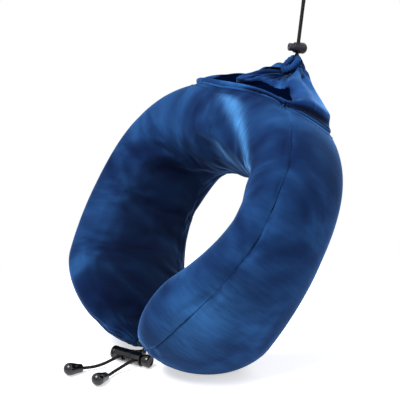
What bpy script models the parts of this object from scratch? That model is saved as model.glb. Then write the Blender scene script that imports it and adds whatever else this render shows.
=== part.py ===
"""U-shaped neck pillow for travel, leaning on its two arm ends and held up by the cord of its own bag.

Z is up, X runs across the pillow and Y runs from the wearer's front to the back. The origin is the
inside of the top bend of the bag's cord, where a hook or a finger holds it. Sizes are in metres.
A foam body wears a cover of two panels, one round the neck and over the top and one round the
outside and the base. A closed bag of the same velour is sewn to the nape, and its mouth is drawn
shut by a cord with a spring lock. A short cord leaves each arm end, both run through a second lock
with two holes, and each ends in a bell.
"""
import math

import bmesh
import bpy
from mathutils import Matrix, Vector

for old in list(bpy.data.objects):
    bpy.data.objects.remove(old, do_unlink=True)

# The pillow's middle line, seen from its top face: half an ellipse for the nape, half for the arms
PLAN_HALF_WIDTH = 0.096
PLAN_NAPE_REACH = 0.0915
PLAN_ARM_REACH = 0.1345
NAPE_SQUARENESS = 2.7
ARM_SQUARENESS = 1.6
ARM_END_DEG = 170.0
# The section across that line at the nape, at the side and at the arm ends
HALF_WIDTHS = (0.0400, 0.0347, 0.0380)
HALF_HEIGHTS = (0.0542, 0.0534, 0.0800)
DROPS = (-0.0044, -0.0061, -0.0088)
SIDE_LEANS = (0.0004, 0.0064, 0.0012)
SECTION_POWER = 2.27
TOP_TAPER = -0.135
SIDE_DEG = 85.0
NOSE_LENGTH = 0.083
NOSE_POWER = 1.53
NOSE_PINCH = 0.5
NOSE_PINCH_LENGTH = 0.008
# The cover: velour on a thin backing, sewn in two seams that draw the foam in
COVER = 0.0020
COVER_TO_FOAM = 0.0007
SEAM_GAP = 0.0007
SEAM_DEPTH = 0.0015
SEAM_REACH = 0.0085
TOP_SEAM_DEG = (29.5, 49.5, 36.0)
RIM_SEAM_DEG = (212.0, 212.0, 212.0)
CORD_EXIT = 0.0034
FOAM_END = 0.0095
# How the pillow leans, and how far its foam gives where it rests on its arm ends
LEAN = math.radians(35.0)
PRESS = 0.0012
PRESS_ROUND = 0.0006
STATIONS = 43
PANEL_STEPS = 12
# The bag: sewn on round a patch of the nape, up over a soft edge, down into a hollow, up to its mouth
BAG_CLOTH = 0.0010
BAG_SEAT = 0.0005
BAG_HALF_WIDTH = 0.066
BAG_LEFT_SHARE = 0.88
BAG_TOP_DEG = 58.0
BAG_LOW_DEG = -50.0
BAG_SQUARENESS = 2.3
BAG_WIDENING = 0.05
EDGE_FRONT = (0.0, 0.0045, 0.0055)
EDGE_LEFT = (0.016, 0.019, 0.008)
EDGE_RIGHT = (-0.001, 0.015, 0.006)
EDGE_BACK = (0.0, 0.017, 0.007)
WALL_LEFT = 0.55
WALL_RIGHT = 0.5
HOLLOW_LIFT = 0.0010
HOLLOW_RUN = 0.58
HOLLOW_TURN = 0.12
REAR_RIM = (0.040, PLAN_NAPE_REACH + 0.0525, 0.010)
PLEATS = 9
PLEAT_STEPS = 6
BAG_RINGS = 16
PLEAT_DEPTH = 0.0017
END_SHARE = 0.5
# The mouth: a flattened ring of hem with the cord inside it
MOUTH = (0.0, PLAN_NAPE_REACH + 0.0805, -0.0185)
MOUTH_LONG = 0.0086
MOUTH_SHORT = 0.0056
MOUTH_TILT = math.radians(-17.0)
HEM_OUTER = 0.0031
HEM_SEAM = math.radians(50.0)
HEM_GATHER = 0.0004
HEM_BORE = 0.0019
HEM_OPEN_DEG = 34.0
HEM_RINGS = 19
# Bag cord and its lock
BAG_CORD = 0.0025
STRAND_SPACE = 0.0029
CORD_LEAN = math.radians(9.5)
LOCK_RISE = 0.0095
LOOP_RISE = 0.0735
LOOP_EYE = 0.0040
RUN = 0.0003
LOCK_TURN = math.radians(67.0)
TOP_BARREL = 0.0108
TOP_BARREL_WALL = 0.0013
TOP_BARREL_BACK = 0.0094
TOP_BARREL_FRONT = 0.0042
TOP_BUTTON_OUT = 0.0052
PRESS_TRAVEL = 0.0025
TOP_SLIDE = 0.020
WIRE = 0.0006
TOP_SPRING_TURNS = 3.0
# Front cords, their lock and their bells
FRONT_CORD = 0.0030
FRONT_HOLE_PLAY = 0.0004
LOCK_AT = (-0.0129, -0.0780)
LOCK_AXIS_DEG = 17.5
HOLE_SPACE = 0.0173
FRONT_BARREL = 0.0124
FRONT_BARREL_WALL = 0.0013
FRONT_BARREL_BACK = 0.0189
FRONT_BARREL_FRONT = 0.0156
FRONT_BUTTON_OUT = 0.0090
FRONT_HEAD = 0.0118
FRONT_HEAD_LENGTH = 0.0058
FRONT_SPRING_TURNS = 3.0
RIM = 0.0005
FLOOR_PLAY = 0.0003
FRONT_SLIDE = 0.008
CORD_SEAT = 0.0060
BELL = 0.0118
BELL_MOUTH = 0.0078
BELL_LENGTH = 0.0178
BELL_LIP = 0.0009
KNOT = 0.0068
LEFT_BELL_AT = (-0.0261, -0.1345)
LEFT_BELL_DEG = 262.0
RIGHT_BELL_AT = (0.0085, -0.1262)
RIGHT_BELL_DEG = 290.0
# The cover's zip, straight across the base under the nape
ZIP_LENGTH = 0.100
ZIP_SLOT = 0.0096
ZIP_PLAY = 0.0004
ZIP_OUT = PLAN_NAPE_REACH - 0.0015
TAPE = 0.0007
TAPE_CORNER = 0.0006
CHAIN_WIDTH = 0.0032
CHAIN_HEIGHT = 0.0014
TOOTH_PITCH = 0.0025
SLIDER_LENGTH = 0.0090
SLIDER_WIDTH = 0.0066
SLIDER_HEIGHT = 0.0032
PULL_LENGTH = 0.0200
PULL_WIDTH = 0.0050
ARCH_LENGTH = 0.0054
ARCH_WIDTH = 0.0016
ARCH_HEIGHT = 0.0026
ARCH_BAR = 0.0011
MAIN_GAP = 0.0003


def rgb(hex_code):
    values = [int(hex_code[i:i + 2], 16) / 255.0 for i in (0, 2, 4)]
    return [v / 12.92 if v <= 0.04045 else ((v + 0.055) / 1.055) ** 2.4 for v in values] + [1.0]


def material(name, hex_code, roughness, metallic=0.0):
    made = bpy.data.materials.new(name)
    made.use_nodes = True
    shader = made.node_tree.nodes["Principled BSDF"]
    shader.inputs["Base Color"].default_value = rgb(hex_code)
    shader.inputs["Roughness"].default_value = roughness
    shader.inputs["Metallic"].default_value = metallic
    return made


VELOUR = "1E3F73"
FOAM = "E9E2C8"
BLACK = "15151A"


def ramp(v):
    v = min(max(v, 0.0), 1.0)
    return v * v * (3.0 - 2.0 * v)


def power(v, n):
    return math.copysign(abs(v) ** (2.0 / n), v)


def along(values, turn):
    """A size that changes from the nape through the side to the arm end."""
    x = abs(turn)
    first = ramp(x / SIDE_DEG)
    last = ramp((x - SIDE_DEG) / (ARM_END_DEG - SIDE_DEG))
    return values[0] + (values[1] - values[0]) * first + (values[2] - values[1]) * last


def middle(turn):
    t = math.radians(turn)
    n = NAPE_SQUARENESS if abs(turn) < 90.0 else ARM_SQUARENESS
    reach = PLAN_NAPE_REACH if abs(turn) < 90.0 else PLAN_ARM_REACH
    return Vector((PLAN_HALF_WIDTH * power(math.sin(t), n), reach * power(math.cos(t), n), 0.0))


TURNS = [ARM_END_DEG * (i / 600.0 - 1.0) for i in range(1201)]
LINE = [middle(turn) for turn in TURNS]
RUNS = [0.0]
for here, there in zip(LINE[:-1], LINE[1:]):
    RUNS.append(RUNS[-1] + (there - here).length)
HALF_RUN = RUNS[-1] / 2.0


def turn_at(run):
    """The turn angle at a signed distance along the middle line from the nape."""
    want = min(max(run + HALF_RUN, 0.0), RUNS[-1])
    low, high = 0, len(RUNS) - 1
    while high - low > 1:
        mid = (low + high) // 2
        if RUNS[mid] <= want:
            low = mid
        else:
            high = mid
    share = (want - RUNS[low]) / max(RUNS[high] - RUNS[low], 1e-12)
    return TURNS[low] + (TURNS[high] - TURNS[low]) * share


def bare(run, angle, reach=1.0):
    """A point on the cover before the seams draw it in; angle 0 faces out and 90 faces up."""
    turn = turn_at(run)
    at = middle(turn)
    step = middle(turn + 0.6) - middle(turn - 0.6)
    tangent = step.normalized()
    out = Vector((-tangent.y, tangent.x, 0.0))
    depth = min((HALF_RUN - abs(run)) / NOSE_LENGTH, 1.0)
    nose = (1.0 - (1.0 - depth) ** NOSE_POWER) ** (1.0 / NOSE_POWER)
    pinch = 1.0 - NOSE_PINCH * math.exp(-(((HALF_RUN - abs(run)) / NOSE_PINCH_LENGTH) ** 2))
    t = math.radians(angle)
    side = power(math.cos(t), SECTION_POWER)
    rise = power(math.sin(t), SECTION_POWER)
    n = along(HALF_WIDTHS, turn) * nose * side * (1.0 + TOP_TAPER * rise)
    n += along(SIDE_LEANS, turn) * nose * rise
    w = along(DROPS, turn) + along(HALF_HEIGHTS, turn) * nose * pinch * rise
    return at + out * (n * reach) + Vector((0.0, 0.0, along(DROPS, turn) * (1.0 - reach) + w * reach))


def facing(run, angle):
    d = 0.0008
    low = min(max(run - d, -HALF_RUN + 1e-5), HALF_RUN - 1e-5)
    high = min(max(run + d, -HALF_RUN + 1e-5), HALF_RUN - 1e-5)
    ahead = bare(high, angle) - bare(low, angle)
    round_ = bare(run, angle + 1.2) - bare(run, angle - 1.2)
    n = round_.cross(ahead)
    inside = bare(run, angle, 0.0)
    n.normalize()
    return n if n.dot(bare(run, angle) - inside) > 0.0 else -n


def turn_speed(run, angle):
    return (bare(run, angle + 1.0) - bare(run, angle - 1.0)).length / math.radians(2.0)


def seam_angles(run):
    turn = turn_at(run)
    return along(TOP_SEAM_DEG, turn), along(RIM_SEAM_DEG, turn)


def draw_in(run, angle):
    """How deep the nearest seam pulls the cover at this place."""
    pull = 0.0
    for seam in seam_angles(run):
        away = (angle - seam + 180.0) % 360.0 - 180.0
        distance = math.radians(abs(away)) * turn_speed(run, seam + away * 0.5)
        pull = max(pull, math.exp(-((distance / SEAM_REACH) ** 2)))
    shrink = min((HALF_RUN - abs(run)) / NOSE_LENGTH * 3.0, 1.0)
    return SEAM_DEPTH * pull * shrink


UP = Vector((0.0, math.sin(LEAN), math.cos(LEAN)))
FACE = Vector((0.0, -math.cos(LEAN), math.sin(LEAN)))
ACROSS = Vector((1.0, 0.0, 0.0))


def leaned(p):
    return ACROSS * p[0] + UP * p[1] + FACE * p[2]


CORD_WAY = Vector((0.0, math.sin(CORD_LEAN), math.cos(CORD_LEAN)))
MOUTH_WAY = Vector((0.0, math.cos(MOUTH_TILT), math.sin(MOUTH_TILT)))
MOUTH_TOP = leaned(Vector(MOUTH) + MOUTH_WAY * MOUTH_LONG)
TOP_LOCK_AT = MOUTH_TOP + CORD_WAY * LOCK_RISE
LOOP_AT = TOP_LOCK_AT + CORD_WAY * LOOP_RISE


def framed(p):
    """From the leaning pillow's middle to the frame, whose origin is inside the cord's top bend."""
    return Vector(p) - LOOP_AT


LOWEST = min(leaned(bare(HALF_RUN * (i / 60.0), a * 5.0)).z for i in range(30, 60) for a in range(72))
FLOOR = LOWEST + PRESS


def pressed(p, inset):
    """The leaned point, with the part that would sink into the floor flattened against it."""
    q = leaned(p)
    level = FLOOR + inset
    soft = (q.z - level) / PRESS_ROUND
    if soft < 20.0:
        q.z = level + PRESS_ROUND * math.log1p(math.exp(soft))
    q.z = max(q.z, level + 0.5 * PRESS_ROUND)
    return framed(q)


def skin(run, angle, inset):
    """A point of the drawn-in cover, a distance under its outer face."""
    p = bare(run, angle) - facing(run, angle) * (draw_in(run, angle) + inset)
    return pressed(p, inset)


def finish(name, bm, look, smooth=True, at=None):
    bmesh.ops.recalc_face_normals(bm, faces=bm.faces)
    mesh = bpy.data.meshes.new(name)
    bm.to_mesh(mesh)
    bm.free()
    made = bpy.data.objects.new(name, mesh)
    bpy.context.collection.objects.link(made)
    if at is not None:
        made.matrix_world = at
    if smooth:
        mesh.shade_smooth()
    made.data.materials.append(look)
    return made


def loft(bm, rows, round_rows=False, ends=""):
    """Skin a list of rows of points; rows may close on themselves, and the ends may be capped."""
    grid = [[bm.verts.new(p) for p in row] for row in rows]
    count = len(rows[0])
    last = count if round_rows else count - 1
    for a, b in zip(grid[:-1], grid[1:]):
        for j in range(last):
            k = (j + 1) % count
            bm.faces.new((a[j], a[k], b[k], b[j]))
    if "start" in ends:
        bm.faces.new(grid[0])
    if "end" in ends:
        bm.faces.new(list(reversed(grid[-1])))
    return grid


def strip(bm, a, b):
    for i in range(len(a) - 1):
        bm.faces.new((a[i], a[i + 1], b[i + 1], b[i]))


def spaced_stations(first):
    """Distances along the middle line, close together at the arm ends."""
    fine = [first + (HALF_RUN - first) * i / 2000.0 for i in range(2001)]
    total = [0.0]
    for near, far in zip(fine[:-1], fine[1:]):
        weight = 1.0 + 3.0 * math.exp(-near / 0.012)
        total.append(total[-1] + weight * (far - near))
    half = STATIONS // 2
    out = []
    j = 0
    for i in range(half + 1):
        want = total[-1] * i / half
        while total[j] < want - 1e-9 and j < 2000:
            j += 1
        out.append(fine[j])
    left = [d - HALF_RUN for d in out]
    return left + [-run for run in reversed(left[:-1])]


def exit_depth(radius):
    """The distance from the arm's tip at which the nose has this half width."""
    share = (radius / HALF_WIDTHS[2]) ** NOSE_POWER
    return (1.0 - (1.0 - share) ** (1.0 / NOSE_POWER)) * NOSE_LENGTH


def eased_angles(start, stop, steps):
    """Angles between two seams, closer together near them."""
    out = []
    for i in range(steps + 1):
        t = i / steps
        t = 0.45 * t + 0.55 * (1.0 - math.cos(math.pi * t)) / 2.0
        out.append(start + (stop - start) * t)
    return out


def cover_panel(name, round_the_neck):
    bm = bmesh.new()
    rows_out, rows_in = [], []
    for run in spaced_stations(exit_depth(CORD_EXIT)):
        top, rim = seam_angles(run)
        start, stop = (top, rim) if round_the_neck else (rim, top + 360.0)
        start += math.degrees(SEAM_GAP / 2.0 / turn_speed(run, start))
        stop -= math.degrees(SEAM_GAP / 2.0 / turn_speed(run, stop))
        angles = eased_angles(start, stop, PANEL_STEPS)
        rows_out.append([skin(run, a, 0.0) for a in angles])
        rows_in.append([skin(run, a, COVER) for a in angles])
    outer = loft(bm, rows_out)
    inner = loft(bm, rows_in)
    strip(bm, outer[0], inner[0])
    strip(bm, outer[-1], inner[-1])
    strip(bm, [r[0] for r in outer], [r[0] for r in inner])
    strip(bm, [r[-1] for r in outer], [r[-1] for r in inner])
    return finish(name, bm, material(name, VELOUR, 0.85))


def foam_body():
    bm = bmesh.new()
    rows = []
    inset = COVER + COVER_TO_FOAM
    for run in spaced_stations(exit_depth(CORD_EXIT)):
        if HALF_RUN - abs(run) < exit_depth(FOAM_END):
            continue
        top, rim = seam_angles(run)
        angles = eased_angles(top, rim, PANEL_STEPS)[:-1]
        angles += eased_angles(rim, top + 360.0, PANEL_STEPS)[:-1]
        rows.append([skin(run, a, inset) for a in angles])
    loft(bm, rows, round_rows=True, ends="start end")
    return finish("foam_body", bm, material("foam_body", FOAM, 0.9))


def cutter(name, bm, at):
    made = finish(name, bm, bpy.data.materials[0], smooth=False, at=at)
    made.data.materials.clear()
    made.hide_render = True
    made.display_type = "WIRE"
    return made


def cut(body, tool):
    step = body.modifiers.new(tool.name, "BOOLEAN")
    step.operation = "DIFFERENCE"
    step.solver = "EXACT"
    step.object = tool


def slab(x0, x1, y0, y1, z0, z1, corner=0.0, arc=4, bevel_axis="z"):
    """A straight-sided block, its corners rounded round one axis."""
    bm = bmesh.new()
    outline = []
    if corner > 0.0:
        for cx, cy, start in ((x1, y1, 0), (x0, y1, 90), (x0, y0, 180), (x1, y0, 270)):
            sx = -1.0 if cx == x1 else 1.0
            sy = -1.0 if cy == y1 else 1.0
            for i in range(arc + 1):
                t = math.radians(start + 90.0 * i / arc)
                outline.append((cx + sx * corner + corner * math.cos(t),
                                cy + sy * corner + corner * math.sin(t)))
    else:
        outline = [(x1, y1), (x0, y1), (x0, y0), (x1, y0)]
    low = [bm.verts.new((x, y, z0)) for x, y in outline]
    high = [bm.verts.new((x, y, z1)) for x, y in outline]
    bm.faces.new(list(reversed(low)))
    bm.faces.new(high)
    for i in range(len(low)):
        k = (i + 1) % len(low)
        bm.faces.new((low[i], low[k], high[k], high[i]))
    return bm


def turned(profile, sides=20, closed=False):
    """Turn a profile of (distance along X, radius) round the X axis."""
    bm = bmesh.new()
    rings = []
    for x, r in profile:
        if r <= 0.0:
            rings.append([bm.verts.new((x, 0.0, 0.0))])
            continue
        rings.append([bm.verts.new((x, r * math.cos(2 * math.pi * i / sides), r * math.sin(2 * math.pi * i / sides)))
                      for i in range(sides)])
    pairs = list(zip(rings[:-1], rings[1:]))
    if closed:
        pairs.append((rings[-1], rings[0]))
    for a, b in pairs:
        for i in range(sides):
            k = (i + 1) % sides
            if len(a) == 1 and len(b) == 1:
                continue
            if len(a) == 1:
                bm.faces.new((a[0], b[k], b[i]))
            elif len(b) == 1:
                bm.faces.new((a[i], a[k], b[0]))
            else:
                bm.faces.new((a[i], a[k], b[k], b[i]))
    return bm


def axes(x, z, at):
    """A placing whose X and Z run along two given directions."""
    x = x.normalized()
    z = (z - x * z.dot(x)).normalized()
    y = z.cross(x)
    turn = Matrix((x, y, z)).transposed().to_4x4()
    return Matrix.Translation(at) @ turn


def smooth_line(points, step, closed=False):
    """Points at even steps along a smooth curve through the route's own points."""
    route = [Vector(p) for p in points]
    n = len(route)
    fine = []
    spans = n if closed else n - 1
    for i in range(spans):
        p1, p2 = route[i], route[(i + 1) % n]
        p0 = route[i - 1] if closed or i > 0 else p1 * 2.0 - p2
        p3 = route[(i + 2) % n] if closed or i + 2 < n else p2 * 2.0 - p1
        t0 = 0.0
        t1 = t0 + max((p1 - p0).length, 1e-9) ** 0.5
        t2 = t1 + max((p2 - p1).length, 1e-9) ** 0.5
        t3 = t2 + max((p3 - p2).length, 1e-9) ** 0.5
        for k in range(24):
            t = t1 + (t2 - t1) * k / 24.0
            a1 = p0 * ((t1 - t) / (t1 - t0)) + p1 * ((t - t0) / (t1 - t0))
            a2 = p1 * ((t2 - t) / (t2 - t1)) + p2 * ((t - t1) / (t2 - t1))
            a3 = p2 * ((t3 - t) / (t3 - t2)) + p3 * ((t - t2) / (t3 - t2))
            b1 = a1 * ((t2 - t) / (t2 - t0)) + a2 * ((t - t0) / (t2 - t0))
            b2 = a2 * ((t3 - t) / (t3 - t1)) + a3 * ((t - t1) / (t3 - t1))
            fine.append(b1 * ((t2 - t) / (t2 - t1)) + b2 * ((t - t1) / (t2 - t1)))
    fine.append(route[0].copy() if closed else route[-1].copy())
    lengths = [0.0]
    for a, b in zip(fine[:-1], fine[1:]):
        lengths.append(lengths[-1] + (b - a).length)
    count = max(2, round(lengths[-1] / step))
    out = []
    j = 0
    for i in range(count + (0 if closed else 1)):
        want = lengths[-1] * i / count
        while j < len(lengths) - 2 and lengths[j + 1] < want:
            j += 1
        share = (want - lengths[j]) / max(lengths[j + 1] - lengths[j], 1e-12)
        out.append(fine[j].lerp(fine[j + 1], min(max(share, 0.0), 1.0)))
    return out, lengths[-1]


def tube(name, points, diameter, look, fine=2, closed=False):
    curve = bpy.data.curves.new(name, "CURVE")
    curve.dimensions = "3D"
    curve.resolution_u = 1
    curve.render_resolution_u = 0
    curve.bevel_depth = diameter / 2.0
    curve.bevel_resolution = fine
    curve.use_fill_caps = not closed
    line = curve.splines.new("POLY")
    line.points.add(len(points) - 1)
    for slot, p in zip(line.points, points):
        slot.co = (p[0], p[1], p[2], 1.0)
    line.use_cyclic_u = closed
    made = bpy.data.objects.new(name, curve)
    bpy.context.collection.objects.link(made)
    curve.materials.append(look)
    return made


def coil(name, at, start, length, radius, turns, look):
    """A round-wire spring on the X axis of a placing, with its least gap to itself printed."""
    steps = round(turns * 9)
    points = []
    for i in range(steps + 1):
        t = 2.0 * math.pi * turns * i / steps
        points.append(at @ Vector((start + length * i / steps, radius * math.cos(t), radius * math.sin(t))))
    least = min((a - b).length for i, a in enumerate(points) for b in points[i + 6:])
    print(name, "least gap to itself", round((least - WIRE) * 1000.0, 2), "mm")
    return tube(name, points, WIRE, look, fine=1)


# --- The foam and the cover that it fills
foam = foam_body()
neck_panel = cover_panel("cover_neck_panel", True)
outer_panel = cover_panel("cover_outer_panel", False)


# --- The bag on the nape
def bag_foot(theta):
    """Where the bag is sewn down, going round its patch of the nape."""
    c, s = math.cos(theta), math.sin(theta)
    run = BAG_HALF_WIDTH * power(c, BAG_SQUARENESS) * (1.0 - BAG_WIDENING * s) * (1.0 if c > 0.0 else BAG_LEFT_SHARE)
    centre = (BAG_TOP_DEG + BAG_LOW_DEG) / 2.0
    angle = centre + (BAG_TOP_DEG - BAG_LOW_DEG) / 2.0 * power(s, BAG_SQUARENESS)
    return run, angle


def off_skin(run, angle, lift):
    return bare(run, angle) - facing(run, angle) * (draw_in(run, angle) - lift)


def mouth_ring(theta, away):
    """A point beside the hem, this far from its middle, on its outer and rear side."""
    wide = away * math.cos(HEM_SEAM)
    long_way = (MOUTH_LONG + wide) * math.sin(theta)
    at = Vector(MOUTH) - MOUTH_WAY * long_way + ACROSS * ((MOUTH_SHORT + wide) * math.cos(theta))
    return at + MOUTH_WAY.cross(ACROSS).normalized() * (away * math.sin(HEM_SEAM))


def bag_path(theta):
    """Route of the cloth: seam, soft lip or side wall, hollow, rear rim, and in to the mouth."""
    c, s = math.cos(theta), math.sin(theta)
    start, side = (WALL_RIGHT, EDGE_RIGHT) if c > 0.0 else (WALL_LEFT, EDGE_LEFT)
    wall, back = ramp((start - s) / start), max(-s, 0.0) ** 2
    run, angle = bag_foot(theta)
    foot = off_skin(run, angle, BAG_SEAT + BAG_CLOTH * 0.3)
    edge = foot.copy()
    for share, move in ((1.0 - wall, EDGE_FRONT), (wall * back, EDGE_BACK), (wall * (1.0 - back), side)):
        edge += Vector(move) * share
    end = mouth_ring(theta, HEM_OUTER + RUN + BAG_CLOTH + PLEAT_DEPTH * END_SHARE)
    centre = (BAG_TOP_DEG + BAG_LOW_DEG) / 2.0
    low = off_skin(run * HOLLOW_RUN, centre + (angle - centre) * HOLLOW_TURN, BAG_SEAT + BAG_CLOTH + HOLLOW_LIFT)
    dip = ramp((s - 0.1) / 0.45)
    hollow = edge.lerp(end, 0.33).lerp(low, dip)
    rim = edge.lerp(end, 0.62).lerp(Vector((REAR_RIM[0] * c, REAR_RIM[1], REAR_RIM[2])), dip)
    return [foot, edge, hollow, rim, end.lerp(rim, 0.45), end]


def rounded(points, t):
    """A smooth curve through the points of a path; t counts them."""
    i = min(int(t), len(points) - 2)
    f = t - i
    p1, p2 = points[i], points[i + 1]
    p0 = points[i - 1] if i > 0 else p1
    p3 = points[i + 2] if i + 2 < len(points) else p2
    m1, m2 = (p2 - p0) * 0.5, (p3 - p1) * 0.5
    return (p1 * (2 * f ** 3 - 3 * f ** 2 + 1) + m1 * (f ** 3 - 2 * f ** 2 + f)
            + p2 * (-2 * f ** 3 + 3 * f ** 2) + m2 * (f ** 3 - f ** 2))


def clear_of_skin(p, least):
    """Push a point of the bag out until it clears the cover under it."""
    best = None
    for i in range(-30, 31):
        run = BAG_HALF_WIDTH * 1.6 * i / 30.0
        gap = (middle(turn_at(run)) - Vector((p.x, p.y, 0.0))).length
        if best is None or gap < best[0]:
            best = (gap, run)
    run = best[1]
    turn = turn_at(run)
    core = middle(turn) + Vector((0.0, 0.0, along(DROPS, turn)))
    step = middle(turn + 0.6) - middle(turn - 0.6)
    tangent = step.normalized()
    out = Vector((-tangent.y, tangent.x, 0.0))
    side, rise = (p - core).dot(out), p.z - core.z
    nearest = None
    for i in range(0, 72):
        angle = -90.0 + 180.0 * i / 71.0
        q = bare(run, angle)
        gap = (q - p).length
        if nearest is None or gap < nearest[0]:
            nearest = (gap, angle, q)
    q = nearest[2]
    n = facing(run, nearest[1])
    height = (p - q).dot(n) + draw_in(run, nearest[1])
    if height < least:
        p = p + n * (least - height)
    return p


def bag_body():
    around = PLEATS * PLEAT_STEPS
    shape = []
    for ring in range(BAG_RINGS):
        t = 5.0 * ring / (BAG_RINGS - 1)
        row = []
        for i in range(around):
            theta = 2.0 * math.pi * (i + 0.5) / around
            row.append(rounded(bag_path(theta), t))
        shape.append(row)
    outer, inner = [], []
    for ring, row in enumerate(shape):
        t = 5.0 * ring / (BAG_RINGS - 1)
        deep = PLEAT_DEPTH * ramp((t - 1.7) / 1.8) * (1.0 - (1.0 - END_SHARE) * ramp((t - 3.8) / 1.2))
        outs, ins = [], []
        for i, p in enumerate(row):
            ahead = row[(i + 1) % around] - row[i - 1]
            up = shape[min(ring + 1, BAG_RINGS - 1)][i] - shape[max(ring - 1, 0)][i]
            n = ahead.cross(up).normalized()
            fold = deep * math.cos(2.0 * math.pi * (i + 0.5) / PLEAT_STEPS)
            a = p + n * fold
            b = a - n * BAG_CLOTH
            least = BAG_SEAT + BAG_CLOTH * (0.3 if ring == 0 else 1.0)
            outs.append(framed(leaned(clear_of_skin(a, least))))
            ins.append(framed(leaned(clear_of_skin(b, BAG_SEAT))))
        outer.append(outs)
        inner.append(ins)
    bm = bmesh.new()
    skin_out = loft(bm, outer, round_rows=True)
    skin_in = loft(bm, inner, round_rows=True)
    for a, b in ((skin_out[0], skin_in[0]), (skin_out[-1], skin_in[-1])):
        strip(bm, a + a[:1], b + b[:1])
    return finish("bag_body", bm, material("bag_body", VELOUR, 0.85))


bag = bag_body()


# --- The hem round the mouth, and the cord that runs in it and up through the lock
def ring_point(turn_deg, long_way, short_way):
    t = math.radians(turn_deg)
    return Vector(MOUTH) + MOUTH_WAY * (long_way * math.cos(t)) + ACROSS * (short_way * math.sin(t))


def hem_sleeve():
    bm = bmesh.new()
    face_way = MOUTH_WAY.cross(ACROSS).normalized()
    outer, inner = [], []
    for i in range(HEM_RINGS):
        turn = HEM_OPEN_DEG + (360.0 - 2.0 * HEM_OPEN_DEG) * i / (HEM_RINGS - 1)
        at = ring_point(turn, MOUTH_LONG, MOUTH_SHORT)
        way = ring_point(turn + 1.0, MOUTH_LONG, MOUTH_SHORT) - ring_point(turn - 1.0, MOUTH_LONG, MOUTH_SHORT)
        out = way.cross(face_way).normalized()
        swell = HEM_OUTER - (HEM_GATHER if i % 2 else 0.0)
        rows = []
        for radius in (swell, HEM_BORE):
            row = []
            for k in range(8):
                t = 2.0 * math.pi * (k + 0.5) / 8
                row.append(framed(leaned(at + out * (radius * math.cos(t)) + face_way * (radius * math.sin(t)))))
            rows.append(row)
        outer.append(rows[0])
        inner.append(rows[1])
    a = loft(bm, outer, round_rows=True)
    b = loft(bm, inner, round_rows=True)
    strip(bm, a[0] + a[0][:1], b[0] + b[0][:1])
    strip(bm, a[-1] + a[-1][:1], b[-1] + b[-1][:1])
    return finish("bag_hem", bm, material("bag_hem", VELOUR, 0.85))


hem = hem_sleeve()

BUTTON_WAY = Vector((-math.cos(LOCK_TURN), -math.sin(LOCK_TURN), 0.0))
TOP_FRAME = axes(CORD_WAY, BUTTON_WAY, framed(TOP_LOCK_AT))
STRAND_WAY = (TOP_FRAME.to_3x3() @ Vector((0.0, 1.0, 0.0))).normalized()
BUTTON_WAY = (TOP_FRAME.to_3x3() @ Vector((0.0, 0.0, 1.0))).normalized()


def bag_cord():
    half = STRAND_SPACE / 2.0
    if STRAND_WAY.x < 0.0:
        half = -half
    top = framed(LOOP_AT)
    lock = framed(TOP_LOCK_AT)
    eye = LOOP_EYE + BAG_CORD / 2.0
    side = []
    ring = []
    for turn in (36.0, 60.0, 90.0, 120.0, 150.0, 180.0):
        ring.append(framed(leaned(ring_point(turn, MOUTH_LONG, MOUTH_SHORT))))
    mouth = framed(MOUTH_TOP)
    side.append(mouth + CORD_WAY * 0.0010 + ACROSS * 0.0022)
    side.append(lock - CORD_WAY * 0.0060 + STRAND_WAY * half)
    side.append(lock + STRAND_WAY * half)
    side.append(lock + CORD_WAY * (TOP_SLIDE / 2.0) + STRAND_WAY * half)
    side.append(lock + CORD_WAY * (TOP_SLIDE + 0.0062) + STRAND_WAY * half)
    side.append(top - CORD_WAY * 0.0330 + STRAND_WAY * half * 1.05)
    side.append(top - CORD_WAY * 0.0200 + STRAND_WAY * half * 1.9)
    side.append(top - CORD_WAY * 0.0100 + STRAND_WAY * (eye * 0.90) * (1 if half > 0 else -1))
    side.append(top - CORD_WAY * (LOOP_EYE * 0.8) + STRAND_WAY * eye * (1 if half > 0 else -1))
    right = list(reversed(ring)) + side
    centre = top - CORD_WAY * LOOP_EYE

    def mirrored(p, i):
        if i < len(ring) + 1:
            return Vector((-p.x, p.y, p.z))
        away = (p - framed(LOOP_AT)).dot(STRAND_WAY)
        return p - STRAND_WAY * (2.0 * away)

    sign = 1 if half > 0 else -1
    over = []
    for deg in (30.0, 60.0, 90.0, 120.0, 150.0):
        t = math.radians(deg)
        over.append(centre + STRAND_WAY * (sign * eye * math.cos(t)) + CORD_WAY * (eye * math.sin(t)))
    left = [mirrored(p, i) for i, p in enumerate(right)]
    route = right + over + list(reversed(left[1:]))
    points, length = smooth_line(route, BAG_CORD * 1.12, closed=True)
    print("bag cord length", round(length * 1000.0, 1), "mm,", len(points), "points")
    return tube("bag_cord", points, BAG_CORD, material("bag_cord", BLACK, 0.7), closed=True)


bag_string = bag_cord()


# --- The lock on the bag's cord: barrel, plunger and spring. Here X runs along the cord
def lock_frame(frame):
    """The same place with X along the barrel, towards its button, and Z along the cord."""
    x = frame.to_3x3() @ Vector((0.0, 0.0, 1.0))
    z = frame.to_3x3() @ Vector((1.0, 0.0, 0.0))
    return axes(x, z, frame.translation)


TOP_LOCK = lock_frame(TOP_FRAME)
top_hole_x = BAG_CORD / 2.0 + RUN + 0.0002
top_hole_y = STRAND_SPACE / 2.0 + BAG_CORD / 2.0 + RUN + 0.0002
top_bore = TOP_BARREL / 2.0 - TOP_BARREL_WALL
top_plunger_r = top_bore - RUN
top_inner = -(top_hole_x + 0.0009)
top_bore_end = -(TOP_BARREL_BACK - 0.0016)

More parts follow.
